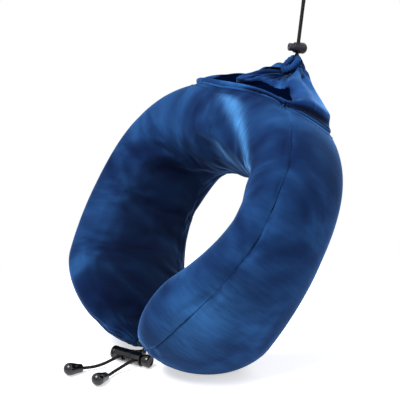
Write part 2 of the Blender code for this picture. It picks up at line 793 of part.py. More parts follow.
r = TOP_BARREL / 2.0
nose = [(-TOP_BARREL_BACK, 0.0)]
for deg in (25.0, 50.0, 72.0, 90.0):
    t = math.radians(deg)
    nose.append((-TOP_BARREL_BACK + r * 0.85 * (1.0 - math.cos(t)), r * math.sin(t)))
barrel_profile = nose + [
    (TOP_BARREL_FRONT - 0.0030, r),
    (TOP_BARREL_FRONT - 0.0018, r - 0.0004),
    (TOP_BARREL_FRONT - 0.0004, r - 0.0005),
    (TOP_BARREL_FRONT, top_bore + 0.0003),
    (TOP_BARREL_FRONT, top_bore),
    (top_bore_end, top_bore),
    (top_bore_end, 0.0),
]
top_barrel = finish("bag_lock_barrel", turned(barrel_profile, 20), material("bag_lock_barrel", "2A2A33", 0.35), at=TOP_LOCK)
hole = cutter("bag_lock_hole", slab(-top_hole_x, top_hole_x, -top_hole_y, top_hole_y, -0.02, 0.02, top_hole_x * 0.98), TOP_LOCK)
cut(top_barrel, hole)

button_end = TOP_BARREL_FRONT + TOP_BUTTON_OUT
plunger_profile = [
    (top_inner, 0.0), (top_inner, top_plunger_r - 0.0004), (top_inner + 0.0004, top_plunger_r),
    (button_end - 0.0006, top_plunger_r), (button_end, top_plunger_r - 0.0006),
    (button_end, top_plunger_r - 0.0013), (button_end - 0.0007, top_plunger_r - 0.0017), (button_end - 0.0009, 0.0),
]
top_plunger = finish("bag_lock_plunger", turned(plunger_profile, 20), material("bag_lock_plunger", "33333D", 0.4), at=TOP_LOCK)
plunger_slot = cutter(
    "bag_plunger_slot",
    slab(-top_hole_x, top_hole_x + PRESS_TRAVEL, -top_hole_y, top_hole_y, -0.02, 0.02, top_hole_x * 0.9), TOP_LOCK)
cut(top_plunger, plunger_slot)
spring_steel = material("spring_steel", "B8BABD", 0.3, 1.0)
top_spring = coil(
    "bag_lock_spring", TOP_LOCK, top_bore_end + RUN + WIRE / 2.0,
    top_inner - top_bore_end - 2.0 * RUN - WIRE, top_bore * 0.62, TOP_SPRING_TURNS, spring_steel)

# --- The front lock: two holes, one plunger, one spring
floor_at = FLOOR + 0.5 * PRESS_ROUND
lock_way = Vector((math.cos(math.radians(LOCK_AXIS_DEG)), math.sin(math.radians(LOCK_AXIS_DEG)), 0.0))
out_way = Vector((lock_way.y, -lock_way.x, 0.0))
front_r = FRONT_BARREL / 2.0
FRONT_LOCK_AT = Vector((LOCK_AT[0], LOCK_AT[1], floor_at + front_r + RIM + FLOOR_PLAY))
FRONT_LOCK = axes(lock_way, out_way, framed(FRONT_LOCK_AT))
front_bore = front_r - FRONT_BARREL_WALL
front_plunger_r = front_bore - RUN
hole_r = FRONT_CORD / 2.0 + FRONT_HOLE_PLAY
front_inner = -(HOLE_SPACE / 2.0 + hole_r + 0.0012)
front_bore_end = -(FRONT_BARREL_BACK - 0.0020)
b, f = FRONT_BARREL_BACK, FRONT_BARREL_FRONT
front_profile = [
    (-b, 0.0), (-b, front_r - 0.0012), (-b + 0.0006, front_r - 0.0003), (-b + 0.0010, front_r + RIM * 0.4),
    (-b + 0.0028, front_r + RIM * 0.4), (-b + 0.0032, front_r - 0.0007), (-b + 0.0044, front_r - 0.0007),
    (-b + 0.0050, front_r), (0.0030, front_r), (0.0034, front_r + RIM), (0.0044, front_r + RIM),
    (0.0048, front_r), (f - 0.0016, front_r), (f - 0.0012, front_r + RIM * 0.6), (f - 0.0003, front_r + RIM * 0.6),
    (f, front_r), (f, front_bore), (front_bore_end, front_bore), (front_bore_end, 0.0),
]
front_barrel = finish(
    "front_lock_barrel", turned(front_profile, 22), material("front_lock_barrel", "101014", 0.22), at=FRONT_LOCK)
for sign, tag in ((-1.0, "left"), (1.0, "right")):
    x = sign * HOLE_SPACE / 2.0
    tool = cutter("front_hole_" + tag, slab(x - hole_r, x + hole_r, -hole_r, hole_r, -0.02, 0.02, hole_r * 0.98), FRONT_LOCK)
    cut(front_barrel, tool)
window = cutter(
    "front_window", slab(-0.0050, -0.0006, -0.0021, 0.0021, front_r - 0.0021, 0.02, 0.0014), FRONT_LOCK)
cut(front_barrel, window)

head_end = FRONT_BARREL_FRONT + FRONT_BUTTON_OUT
head_r = FRONT_HEAD / 2.0
head_start = head_end - FRONT_HEAD_LENGTH
front_plunger_profile = [
    (front_inner, 0.0), (front_inner, front_plunger_r - 0.0005), (front_inner + 0.0005, front_plunger_r),
    (head_start, front_plunger_r), (head_start + 0.0002, head_r - 0.0003), (head_start + 0.0005, head_r),
    (head_end - 0.0009, head_r), (head_end - 0.0003, head_r - 0.0005), (head_end, head_r - 0.0014),
    (head_end, head_r - 0.0024), (head_end - 0.0006, head_r - 0.0030), (head_end - 0.0007, 0.0),
]
front_plunger = finish(
    "front_lock_plunger", turned(front_plunger_profile, 22), material("front_lock_plunger", "0C0C10", 0.2), at=FRONT_LOCK)
for sign, tag in ((-1.0, "left"), (1.0, "right")):
    x = sign * HOLE_SPACE / 2.0
    tool = cutter(
        "front_slot_" + tag,
        slab(x - hole_r, x + hole_r + PRESS_TRAVEL, -hole_r, hole_r, -0.02, 0.02, hole_r * 0.9), FRONT_LOCK)
    cut(front_plunger, tool)
front_spring = coil(
    "front_lock_spring", FRONT_LOCK, front_bore_end + RUN + WIRE / 2.0,
    front_inner - front_bore_end - 2.0 * RUN - WIRE, front_bore * 0.62, FRONT_SPRING_TURNS, spring_steel)


# --- The front cords, from a seat inside each arm end, through the lock and into its bell
def bell_frame(at, deg):
    """A placing with X from the bell's mouth to its round end, laid on the floor."""
    flat = Vector((math.cos(math.radians(deg)), math.sin(math.radians(deg)), 0.0))
    rise = (BELL - BELL_MOUTH) / 2.0 / (BELL_LENGTH - BELL / 2.0)
    way = (flat + Vector((0.0, 0.0, rise))).normalized()
    centre = Vector((at[0], at[1], floor_at + BELL / 2.0 + FLOOR_PLAY))
    return axes(way, Vector((0.0, 0.0, 1.0)), framed(centre))


def bell(name, frame):
    """A drop-shaped end, hollow for the cord and the knot that holds it."""
    back = BELL_LENGTH - BELL / 2.0
    mouth = BELL_MOUTH / 2.0
    ball = BELL / 2.0
    cord_bore = FRONT_CORD / 2.0 + RUN + 0.0001
    knot_bore = KNOT / 2.0 + RUN + 0.0002
    outside = [(-back, cord_bore), (-back, mouth - 0.0005), (-back + 0.0004, mouth), (-back + BELL_LIP, mouth + 0.0001)]
    outside += [(-0.0026, ball * 0.955)]
    for deg in (100.0, 80.0, 60.0, 40.0, 20.0):
        t = math.radians(deg)
        outside.append((ball * math.cos(t), ball * math.sin(t)))
    outside.append((ball, 0.0))
    inside = [(knot_bore, 0.0)]
    for deg in (28.0, 56.0, 84.0, 112.0):
        t = math.radians(deg)
        inside.append((knot_bore * math.cos(t), knot_bore * math.sin(t)))
    inside += [(-KNOT / 2.0 - 0.0004, cord_bore + 0.0002), (-KNOT / 2.0 - 0.0008, cord_bore)]
    return finish(name, turned(outside + inside, 18, closed=True), material(name, "0B0B0F", 0.12), at=frame)


def knot(name, frame):
    """The cord's stopper knot, seated in the bell's hollow."""
    ball = KNOT / 2.0
    profile = [(-ball, 0.0)]
    for deg, swell in ((150.0, 0.96), (120.0, 1.0), (90.0, 0.93), (60.0, 1.0), (30.0, 0.96)):
        t = math.radians(deg)
        profile.append((ball * math.cos(t) * swell, ball * math.sin(t) * swell))
    profile.append((ball, 0.0))
    return finish(name, turned(profile, 12), material(name, BLACK, 0.8), at=frame)


def front_cord(name, side, hole_side, between, beyond, frame):
    tip = leaned(bare(side * HALF_RUN * 0.99999, 0.0, 0.0))
    inward = (leaned(bare(side * (HALF_RUN - 0.008), 0.0, 0.0)) - tip).normalized()
    start = tip + inward * CORD_SEAT
    hole_at = FRONT_LOCK_AT + lock_way * (hole_side * HOLE_SPACE / 2.0)
    lift = Vector((0.0, 0.0, floor_at))
    reach = front_r + 0.0010
    route = [start, start.lerp(tip, 0.5), tip]
    route += [Vector(p) + lift for p in between]
    route += [hole_at - out_way * (reach + 0.0008), hole_at - out_way * (reach * 0.75), hole_at,
              hole_at + out_way * (reach + FRONT_SLIDE * 0.5),
              hole_at + out_way * (reach + FRONT_SLIDE)]
    route += [Vector(p) + lift for p in beyond]
    back = BELL_LENGTH - BELL / 2.0
    mouth_point = frame @ Vector((-back - 0.0030, 0.0, 0.0))
    end = frame @ Vector((-KNOT / 2.0 - RUN, 0.0, 0.0))
    route = [framed(p) for p in route] + [mouth_point, mouth_point.lerp(end, 0.5), end]
    points, length = smooth_line(route, FRONT_CORD * 1.3)
    print(name, "length", round(length * 1000.0, 1), "mm,", len(points), "points")
    return tube(name, points, FRONT_CORD, material(name, BLACK, 0.7))


left_frame = bell_frame(LEFT_BELL_AT, LEFT_BELL_DEG)
right_frame = bell_frame(RIGHT_BELL_AT, RIGHT_BELL_DEG)
left_bell = bell("front_bell_left", left_frame)
right_bell = bell("front_bell_right", right_frame)
left_knot = knot("front_knot_left", left_frame)
right_knot = knot("front_knot_right", right_frame)
left_cord = front_cord(
    "front_cord_left", -1, -1,
    [(-0.0055, -0.0668, 0.0190), (-0.0030, -0.0605, 0.0165), (-0.0085, -0.0585, 0.0112),
     (-0.0162, -0.0640, 0.0066), (-0.0223, -0.0695, 0.0064)],
    [(-0.0195, -0.1030, 0.0042), (-0.0212, -0.1110, 0.0034)], left_frame)
right_cord = front_cord(
    "front_cord_right", 1, 1,
    [(0.0055, -0.0690, 0.0192), (0.0005, -0.0692, 0.0175), (-0.0042, -0.0672, 0.0135), (-0.0068, -0.0652, 0.0088)],
    [(-0.0010, -0.1010, 0.0036)], right_frame)

# --- The cover's zip: a slot in the base under the nape, two tapes, the closed chain, slider and pull
base_at = min(skin(0.0, a, 0.0).dot(FACE) for a in range(250, 291, 2))
base_point = framed(leaned(Vector((0.0, ZIP_OUT, 0.0))))
base_point = base_point + FACE * (base_at - base_point.dot(FACE))
ZIP = axes(ACROSS, -FACE, base_point)
slot_half = ZIP_SLOT / 2.0
end_half = ZIP_LENGTH / 2.0
zip_slot = cutter(
    "zip_slot",
    slab(-end_half - ZIP_PLAY, end_half + ZIP_PLAY, -slot_half, slot_half, -0.012, 0.012, TAPE_CORNER + ZIP_PLAY), ZIP)
cut(outer_panel, zip_slot)
tape_in = CHAIN_WIDTH / 2.0 + MAIN_GAP
tape_z = -(COVER * 0.5 + 0.0006)
for sign, tag in ((-1.0, "front"), (1.0, "back")):
    y0, y1 = sorted((sign * tape_in, sign * (slot_half - ZIP_PLAY)))
    finish("zip_tape_" + tag, slab(-end_half, end_half, y0, y1, tape_z - TAPE / 2.0, tape_z + TAPE / 2.0, TAPE_CORNER),
           material("zip_tape_" + tag, "1A3157", 0.9), smooth=False, at=ZIP)
chain_half = end_half - 0.0010
chain = bmesh.new()
teeth = int(2.0 * chain_half / TOOTH_PITCH)
chain_rows = []
for i in range(teeth * 2 + 1):
    x = -chain_half + 2.0 * chain_half * i / (teeth * 2)
    tall = CHAIN_HEIGHT / 2.0 * (1.0 if i % 2 else 0.62)
    wide = CHAIN_WIDTH / 2.0 * (1.0 if i % 2 else 0.82)
    chain_rows.append([(x, -wide, tape_z - tall * 0.5), (x, -wide, tape_z + tall * 0.5), (x, -wide * 0.5, tape_z + tall),
                       (x, wide * 0.5, tape_z + tall), (x, wide, tape_z + tall * 0.5), (x, wide, tape_z - tall * 0.5)])
loft(chain, chain_rows, round_rows=True, ends="start end")
finish("zip_chain", chain, material("zip_chain", "1C2C4A", 0.4), smooth=False, at=ZIP)

slider_x = -chain_half + SLIDER_LENGTH / 2.0 + 0.001
chain_top = tape_z + CHAIN_HEIGHT / 2.0
slider_low = tape_z + TAPE / 2.0 + MAIN_GAP
slider_top = slider_low + SLIDER_HEIGHT
SLIDER = ZIP @ Matrix.Translation((slider_x, 0.0, 0.0))
slider = finish(
    "zip_slider",
    slab(-SLIDER_LENGTH / 2.0, SLIDER_LENGTH / 2.0, -SLIDER_WIDTH / 2.0, SLIDER_WIDTH / 2.0, slider_low, slider_top, 0.0016),
    material("zip_slider", "23252B", 0.35, 0.6), smooth=False, at=SLIDER)
channel = cutter(
    "zip_channel",
    slab(-0.02, 0.02, -CHAIN_WIDTH / 2.0 - MAIN_GAP, CHAIN_WIDTH / 2.0 + MAIN_GAP, slider_low - 0.01, chain_top + MAIN_GAP),
    SLIDER)
cut(slider, channel)
# The slider's arch holds the bar at the pull's end, and the pull hangs straight off the base
arch = cutter(
    "zip_arch",
    slab(-ARCH_LENGTH / 2.0, ARCH_LENGTH / 2.0, -ARCH_WIDTH / 2.0, ARCH_WIDTH / 2.0,
         slider_top - 0.0004, slider_top + ARCH_HEIGHT), SLIDER)
join = slider.modifiers.new("zip_arch", "BOOLEAN")
join.operation = "UNION"
join.solver = "EXACT"
join.object = arch
eye_low = slider_top + 0.0001
eye_high = slider_top + ARCH_HEIGHT - ARCH_BAR
eye_half = ARCH_LENGTH / 2.0 - ARCH_BAR
cut(slider, cutter("zip_arch_eye", slab(-eye_half, eye_half, -0.01, 0.01, eye_low, eye_high), SLIDER))
pull_bar = (eye_high - eye_low - 2.0 * MAIN_GAP) / 2.0
PULL_AT = SLIDER @ Matrix.Translation((0.0, 0.0, (eye_low + eye_high) / 2.0)) @ Matrix.Rotation(-math.pi / 2.0, 4, "Y")
pull_profile = slab(-pull_bar, PULL_LENGTH, -PULL_WIDTH / 2.0, PULL_WIDTH / 2.0, -pull_bar, pull_bar, 0.0005)
pull = finish("zip_pull", pull_profile, material("zip_pull", "23252B", 0.35, 0.6), smooth=False, at=PULL_AT)
window_far = math.hypot(ARCH_LENGTH / 2.0, ARCH_HEIGHT) + MAIN_GAP
window_half = ARCH_WIDTH / 2.0 + MAIN_GAP
cut(pull, cutter("zip_pull_window", slab(pull_bar, window_far, -window_half, window_half, -0.01, 0.01, 0.0003), PULL_AT))
cut(pull, cutter("zip_pull_hole", slab(PULL_LENGTH - 0.0085, PULL_LENGTH - 0.0018, -0.0009, 0.0009, -0.01, 0.01, 0.0007), PULL_AT))

print("floor", round((floor_at - LOOP_AT.z) * 1000.0, 1), "mm; loop at", [round(v * 1000.0, 1) for v in LOOP_AT])
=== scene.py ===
# %% [markdown]
# # A velour neck pillow with its own bag
# This lesson dresses the plain solids of a U-shaped travel pillow. The real one is a block of memory
# foam in a velour cover, with a gathered bag sewn to its nape and two corded locks. The solids come in
# as a fixed frame, and each piece made here sits on them; all but the springs also move with them.

# %% Load the frame
import math

import bmesh
import bpy
import numpy as np
from mathutils import Matrix, Vector
from mathutils.bvhtree import BVHTree


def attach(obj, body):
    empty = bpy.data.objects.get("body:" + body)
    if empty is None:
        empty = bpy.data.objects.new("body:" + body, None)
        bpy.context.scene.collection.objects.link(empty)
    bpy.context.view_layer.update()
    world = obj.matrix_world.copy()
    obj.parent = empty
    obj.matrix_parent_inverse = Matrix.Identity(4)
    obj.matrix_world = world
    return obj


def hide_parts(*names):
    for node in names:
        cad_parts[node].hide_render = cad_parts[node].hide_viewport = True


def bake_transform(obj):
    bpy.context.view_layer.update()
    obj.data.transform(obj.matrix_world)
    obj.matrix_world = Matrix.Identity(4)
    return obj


MM = 0.001
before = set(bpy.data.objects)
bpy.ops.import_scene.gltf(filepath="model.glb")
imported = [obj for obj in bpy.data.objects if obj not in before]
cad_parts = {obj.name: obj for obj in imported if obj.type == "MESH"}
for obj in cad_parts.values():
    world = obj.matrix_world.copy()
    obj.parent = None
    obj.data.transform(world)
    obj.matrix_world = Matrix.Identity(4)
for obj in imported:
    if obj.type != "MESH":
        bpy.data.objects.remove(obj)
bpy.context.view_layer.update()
print(len(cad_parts), "nodes in the CAD box")

# %% [markdown]
# ## The pillow's middle line
# A pillow like this is drawn as one line with a section round it. The same line and the same leaning
# section as the solids are used here, so the fine cover falls where the solid cover lies. All sizes are
# worked from these few, and arrays are used so that a whole grid of points is made at once.

# %% Sizes of the middle line and its section
PLAN_HALF_WIDTH, PLAN_NAPE_REACH, PLAN_ARM_REACH = 0.096, 0.0915, 0.1345
NAPE_SQUARENESS, ARM_SQUARENESS, ARM_END_DEG, SIDE_DEG = 2.7, 1.6, 170.0, 85.0
HALF_WIDTHS = (0.0400, 0.0347, 0.0380)
HALF_HEIGHTS = (0.0542, 0.0534, 0.0800)
DROPS = (-0.0044, -0.0061, -0.0088)
SIDE_LEANS = (0.0004, 0.0064, 0.0012)
SECTION_POWER, TOP_TAPER = 2.27, -0.135
NOSE_LENGTH, NOSE_POWER, NOSE_PINCH, NOSE_PINCH_LENGTH = 0.083, 1.53, 0.5, 0.008
TOP_SEAM_DEG = (29.5, 49.5, 36.0)
RIM_SEAM_DEG = (212.0, 212.0, 212.0)
CORD_EXIT = 0.0034
LEAN = math.radians(35.0)
UP = np.array((0.0, math.sin(LEAN), math.cos(LEAN)))
FACE = np.array((0.0, -math.cos(LEAN), math.sin(LEAN)))
ACROSS = np.array((1.0, 0.0, 0.0))
PRESS, PRESS_ROUND = 0.0012, 0.0006
print("nape section", round(2.0 * HALF_WIDTHS[0] / MM), "by", round(2.0 * HALF_HEIGHTS[0] / MM), "mm")


# %% The middle line
def ease(v):
    v = np.clip(v, 0.0, 1.0)
    return v * v * (3.0 - 2.0 * v)


def power(v, n):
    return np.sign(v) * np.abs(v) ** (2.0 / n)


def fading(distance, reach):
    """1 at no distance, falling away smoothly on both sides."""
    return np.exp(-((distance / reach) ** 2))


def along(values, turn):
    first = ease(np.abs(turn) / SIDE_DEG)
    last = ease((np.abs(turn) - SIDE_DEG) / (ARM_END_DEG - SIDE_DEG))
    return values[0] + (values[1] - values[0]) * first + (values[2] - values[1]) * last


def middle(turn):
    t = np.radians(turn)
    nape = np.abs(turn) < 90.0
    n = np.where(nape, NAPE_SQUARENESS, ARM_SQUARENESS)
    reach = np.where(nape, PLAN_NAPE_REACH, PLAN_ARM_REACH)
    return np.stack([PLAN_HALF_WIDTH * power(np.sin(t), n), reach * power(np.cos(t), n), 0.0 * t], -1)


fine_turns = np.linspace(-ARM_END_DEG, ARM_END_DEG, 1201)
fine_steps = np.linalg.norm(np.diff(middle(fine_turns), axis=0), axis=1)
fine_runs = np.concatenate([[0.0], np.cumsum(fine_steps)])
HALF_RUN = fine_runs[-1] / 2.0


def turn_at(run):
    return np.interp(run + HALF_RUN, fine_runs, fine_turns)


print("middle line", round(2.0 * HALF_RUN / MM), "mm long")


# %% The skin round the middle line
def bare(run, angle, reach=1.0):
    """Cover points before the seams draw them in; angle 0 faces out and 90 faces up."""
    run, angle = np.broadcast_arrays(np.asarray(run, float), np.asarray(angle, float))
    turn = turn_at(run)
    tangent = middle(turn + 0.6) - middle(turn - 0.6)
    tangent /= np.linalg.norm(tangent, axis=-1, keepdims=True)
    out = np.stack([-tangent[..., 1], tangent[..., 0], 0.0 * turn], -1)
    from_tip = HALF_RUN - np.abs(run)
    depth = np.clip(from_tip / NOSE_LENGTH, 0.0, 1.0)
    nose = (1.0 - (1.0 - depth) ** NOSE_POWER) ** (1.0 / NOSE_POWER)
    pinch = 1.0 - NOSE_PINCH * fading(from_tip, NOSE_PINCH_LENGTH)
    side = power(np.cos(np.radians(angle)), SECTION_POWER)
    rise = power(np.sin(np.radians(angle)), SECTION_POWER)
    n = along(HALF_WIDTHS, turn) * nose * side * (1.0 + TOP_TAPER * rise)
    n = n + along(SIDE_LEANS, turn) * nose * rise
    drop = along(DROPS, turn)
    w = drop + along(HALF_HEIGHTS, turn) * nose * pinch * rise * reach
    flat = middle(turn) + out * (n * reach)[..., None]
    flat[..., 2] = w
    return flat


def facing(run, angle):
    """The outward direction of the cover at each point."""
    d = 0.0008
    low = np.clip(run - d, -HALF_RUN + 1e-5, HALF_RUN - 1e-5)
    high = np.clip(run + d, -HALF_RUN + 1e-5, HALF_RUN - 1e-5)
    n = np.cross(bare(run, angle + 1.2) - bare(run, angle - 1.2), bare(high, angle) - bare(low, angle))
    n /= np.linalg.norm(n, axis=-1, keepdims=True)
    inward = np.sum(n * (bare(run, angle) - bare(run, angle, 0.0)), -1, keepdims=True) < 0.0
    return np.where(inward, -n, n)


def leaned(p):
    return p[..., :1] * ACROSS + p[..., 1:2] * UP + p[..., 2:3] * FACE


print("nape's top at", np.round(leaned(bare(0.0, 90.0)) / MM, 1), "mm from the pillow's middle")

# %% [markdown]
# ## Where the pillow stands
# The frame's origin is inside the top bend of the bag's cord. The pillow's middle is found from it
# through the bag's mouth and lock, the same way the solids were placed.

# %% From the pillow's middle to the frame
MOUTH = np.array((0.0, 0.1720, -0.0185))
MOUTH_LONG, MOUTH_SHORT, MOUTH_TILT = 0.0086, 0.0056, math.radians(-17.0)
MOUTH_WAY = np.array((0.0, math.cos(MOUTH_TILT), math.sin(MOUTH_TILT)))
CORD_LEAN = math.radians(9.5)
CORD_WAY = np.array((0.0, math.sin(CORD_LEAN), math.cos(CORD_LEAN)))
LOCK_RISE, LOOP_RISE = 0.0095, 0.0735
MOUTH_TOP = leaned(MOUTH + MOUTH_WAY * MOUTH_LONG)
LOOP_AT = MOUTH_TOP + CORD_WAY * (LOCK_RISE + LOOP_RISE)
arm_runs = np.linspace(HALF_RUN * 0.5, HALF_RUN * 0.99, 60)
grid_run, grid_angle = np.meshgrid(arm_runs, np.arange(0.0, 360.0, 5.0))
FLOOR = leaned(bare(grid_run, grid_angle))[..., 2].min() + PRESS + 0.5 * PRESS_ROUND
FLOOR_Z = FLOOR - LOOP_AT[2]
print("pillow's middle at", np.round(-LOOP_AT / MM, 1), "mm, floor at", round(FLOOR_Z / MM, 1), "mm")


def framed(p):
    return leaned(p) - LOOP_AT


# %% [markdown]
# ## Camera
# The photograph was taken from the pillow's front right, a little above. The camera was fitted to the
# pillow's outline, its opening and its seam, which gives these angles, distance and lens.


# %% Camera
def way_to(azimuth, elevation):
    """The direction from the pillow to a place round it; 0, 0 is straight in front."""
    flat = math.cos(elevation)
    return Vector((math.sin(azimuth) * flat, -math.cos(azimuth) * flat, math.sin(elevation)))


AZIMUTH, ELEVATION, ROLL = math.radians(52.548), math.radians(15.309), math.radians(-1.245)
DISTANCE, LENS_MM, SENSOR_MM = 0.9322, 89.69, 36.0
OFF_RIGHT, OFF_UP = 0.0012, -0.01395
back = way_to(AZIMUTH, ELEVATION)
level = Vector((math.cos(AZIMUTH), math.sin(AZIMUTH), 0.0))
upright = back.cross(level)
right = level * math.cos(ROLL) + upright * math.sin(ROLL)
top = upright * math.cos(ROLL) - level * math.sin(ROLL)
camera_data = bpy.data.cameras.new("studio_camera")
camera_data.lens, camera_data.sensor_width = LENS_MM, SENSOR_MM
camera = bpy.data.objects.new("studio_camera", camera_data)
bpy.context.scene.collection.objects.link(camera)
camera_at = back * DISTANCE - right * OFF_RIGHT - top * OFF_UP - Vector(LOOP_AT)
camera.matrix_world = Matrix.Translation(camera_at) @ Matrix((right, top, back)).transposed().to_4x4()
camera_data.clip_start, camera_data.clip_end = 0.05, 20.0     # metres
bpy.context.scene.camera = camera
bpy.context.scene.view_settings.view_transform = "Standard"
print("camera at", [round(v / MM) for v in camera_at], "mm")

# %% [markdown]
# ## Materials: one small helper
# Every finish below is built from nodes. One function turns a colour written as a hex code to the linear
# values that the shader works in, and one adds a node with its settings and its links.


# %% Node helpers
def hex_colour(code):
    values = [int(code[i:i + 2], 16) / 255.0 for i in (0, 2, 4)]
    return [v / 12.92 if v <= 0.04045 else ((v + 0.055) / 1.055) ** 2.4 for v in values] + [1.0]


def add(tree, kind, links=None, **settings):
    """Adds a node. Settings name its properties or its inputs, and links join its inputs to other nodes."""
    node = tree.nodes.new(kind)
    for name, value in settings.items():
        if hasattr(node, name):
            setattr(node, name, value)
        else:
            node.inputs[name.replace("_", " ")].default_value = value
    for name, source in (links or {}).items():
        socket = node.inputs[name] if isinstance(name, int) else node.inputs[name.replace("_", " ")]
        tree.links.new(source, socket)
    return node


def new_material(name):
    made = bpy.data.materials.new(name)
    made.use_nodes = True
    return made, made.node_tree, made.node_tree.nodes["Principled BSDF"]


def wear(obj, material):
    obj.data.materials.clear()
    obj.data.materials.append(material)
    return obj


print("the grey 808080 is", round(hex_colour("808080")[0], 3), "to the shader")

# %% [markdown]
# ## Floor and light
# A product picture like this stands on white paper with broad soft lamps. The floor is a pale diffuse
# sheet that adds a little light of its own for the camera, so open paper reads as pure white and only
# the shadow under the pillow stays. Glossy pieces see the same white.


# %% Floor
def finished(name, body):
    """Makes an object of a bmesh that is done."""
    data = bpy.data.meshes.new(name)
    body.to_mesh(data)
    body.free()
    made = bpy.data.objects.new(name, data)
    bpy.context.scene.collection.objects.link(made)
    return made


def seen_directly(tree):
    """1 for rays that show a surface to the camera or in a gloss, and 0 for rays that only light things."""
    path = add(tree, "ShaderNodeLightPath")
    seen = path.outputs["Is Camera Ray"]
    for kind in ("Is Glossy Ray", "Is Transmission Ray"):
        seen = add(tree, "ShaderNodeMath", {0: seen, 1: path.outputs[kind]}, operation="MAXIMUM").outputs[0]
    return seen


FLOOR_HALF, FLOOR_DROP = 3.0, 0.0002
SHADOW_FULL, SHADOW_END = 0.22, 0.34     # metres from the pillow; further out the paper is open white
sheet = bmesh.new()
bmesh.ops.create_grid(sheet, x_segments=1, y_segments=1, size=FLOOR_HALF)
floor = finished("paper_floor", sheet)
floor.location = (0.0, 0.0, FLOOR_Z - FLOOR_DROP)
# matt white background paper: it scatters all light and has no gloss, so it reads as plain white
paper, tree, shader = new_material("studio_paper")
shader.inputs["Base Color"].default_value = hex_colour("F1F1F6")
shader.inputs["Roughness"].default_value = 0.9
shader.inputs["Specular IOR Level"].default_value = 0.0
glow = add(tree, "ShaderNodeEmission", Strength=0.58)
lit = add(tree, "ShaderNodeAddShader", {0: shader.outputs[0], 1: glow.outputs[0]})
place = add(tree, "ShaderNodeTexCoord")
away = add(tree, "ShaderNodeVectorMath", {0: place.outputs["Object"]}, operation="DISTANCE")
away.inputs[1].default_value = (0.0, -LOOP_AT[1], 0.0)
far = add(tree, "ShaderNodeMapRange", {0: away.outputs["Value"]}, interpolation_type="SMOOTHSTEP")
far.inputs["From Min"].default_value, far.inputs["From Max"].default_value = SHADOW_FULL, SHADOW_END
open_paper = add(tree, "ShaderNodeEmission", Strength=1.0)
lit = add(tree, "ShaderNodeMixShader", {0: far.outputs[0], 1: lit.outputs[0], 2: open_paper.outputs[0]})
mixed = add(tree, "ShaderNodeMixShader", {0: seen_directly(tree), 1: shader.outputs[0], 2: lit.outputs[0]})
tree.links.new(mixed.outputs[0], tree.nodes["Material Output"].inputs[0])
wear(floor, paper)
print("floor", round(2.0 * FLOOR_HALF), "m wide")

# %% World and lamps
world = bpy.data.worlds.new("white_studio")
bpy.context.scene.world = world
world.use_nodes = True
tree = world.node_tree
dim = tree.nodes["Background"]
dim.inputs["Color"].default_value = hex_colour("F4F6FA")
dim.inputs["Strength"].default_value = 0.30
white = add(tree, "ShaderNodeBackground", Color=(1.0, 1.0, 1.0, 1.0), Strength=1.0)
mixed = add(tree, "ShaderNodeMixShader", {0: seen_directly(tree), 1: dim.outputs[0], 2: white.outputs[0]})
tree.links.new(mixed.outputs[0], tree.nodes["World Output"].inputs[0])


def lamp(name, azimuth, elevation, distance, size, watts):
    """A square soft lamp, aimed at the pillow's middle, with angles in degrees and sizes in metres."""
    way = way_to(math.radians(azimuth), math.radians(elevation))
    data = bpy.data.lights.new(name, "AREA")
    data.size, data.energy = size, watts
    made = bpy.data.objects.new(name, data)
    bpy.context.scene.collection.objects.link(made)
    made.location = Vector(-LOOP_AT) + way * distance
    made.rotation_mode = "QUATERNION"
    made.rotation_quaternion = (-way).to_track_quat("-Z", "Y")
    return made


lamps = [lamp("key_softbox", 6.0, 56.0, 1.4, 0.7, 29.0),
         lamp("fill_softbox", 105.0, 35.0, 1.7, 1.2, 6.0),
         lamp("rear_softbox", 170.0, 45.0, 1.6, 0.9, 6.0)]
print("lamps", [made.name for made in lamps])

# %% [markdown]
# ## Velour
# Velour is a knitted polyester cloth with a short cut pile. Each fibre stands up from the backing, so the
# cloth is nearly black where it is seen straight into the pile and pale blue where the pile turns away,
# and a hand leaves brushed bands where it lies another way. Sheen gives the pale rims. The bands need a
# direction, so every point carries its own place along and round the piece in millimetres, and noises
# stretched along that place draw the bands. A stored value makes the colour pale beside the neck and on
# the near arm's end: the pile there is brushed, and its pale tone is painted sheen. Another stored value
# is painted shade, which darkens the colour in folds and pockets and on the left arm.

# %% Marks in the pile
BAND_MM, BAND_LONG_MM = 42.0, 78.0
STREAK_MM, STREAK_LONG_MM = 3.2, 22.0
TUFT_MM = 0.9      # tufts are about 0.5 mm apart, drawn at 0.9 mm so that they show
DEEP_SHARE, BRIGHT_SHARE = 0.33, 0.70
# the pale blue is painted sheen on brushed pile, the near-black navy is painted shade, and the rim tint is
# the shader's own sheen
BRUSHED_SHEEN_PALE, PAINTED_SHADE_DARK, RIM_TINT = "4B8AC8", "02081F", "6CA4E8"


def per_metre(size_mm):
    return 1.0 / (size_mm * MM)


def pile_marks(tree, place, across_mm, along_mm, detail, twist):
    """Soft marks that are across_mm wide and along_mm long on the cloth."""
    scaled = add(tree, "ShaderNodeVectorMath", {0: place}, operation="MULTIPLY")
    scaled.inputs[1].default_value = (per_metre(across_mm), per_metre(along_mm), per_metre(across_mm))
    return add(tree, "ShaderNodeTexNoise", {"Vector": scaled.outputs[0]},
               Scale=1.0, Detail=detail, Roughness=0.62, Distortion=twist)


print("bands", BAND_MM, "mm, streaks", STREAK_MM, "mm, tufts", TUFT_MM, "mm")


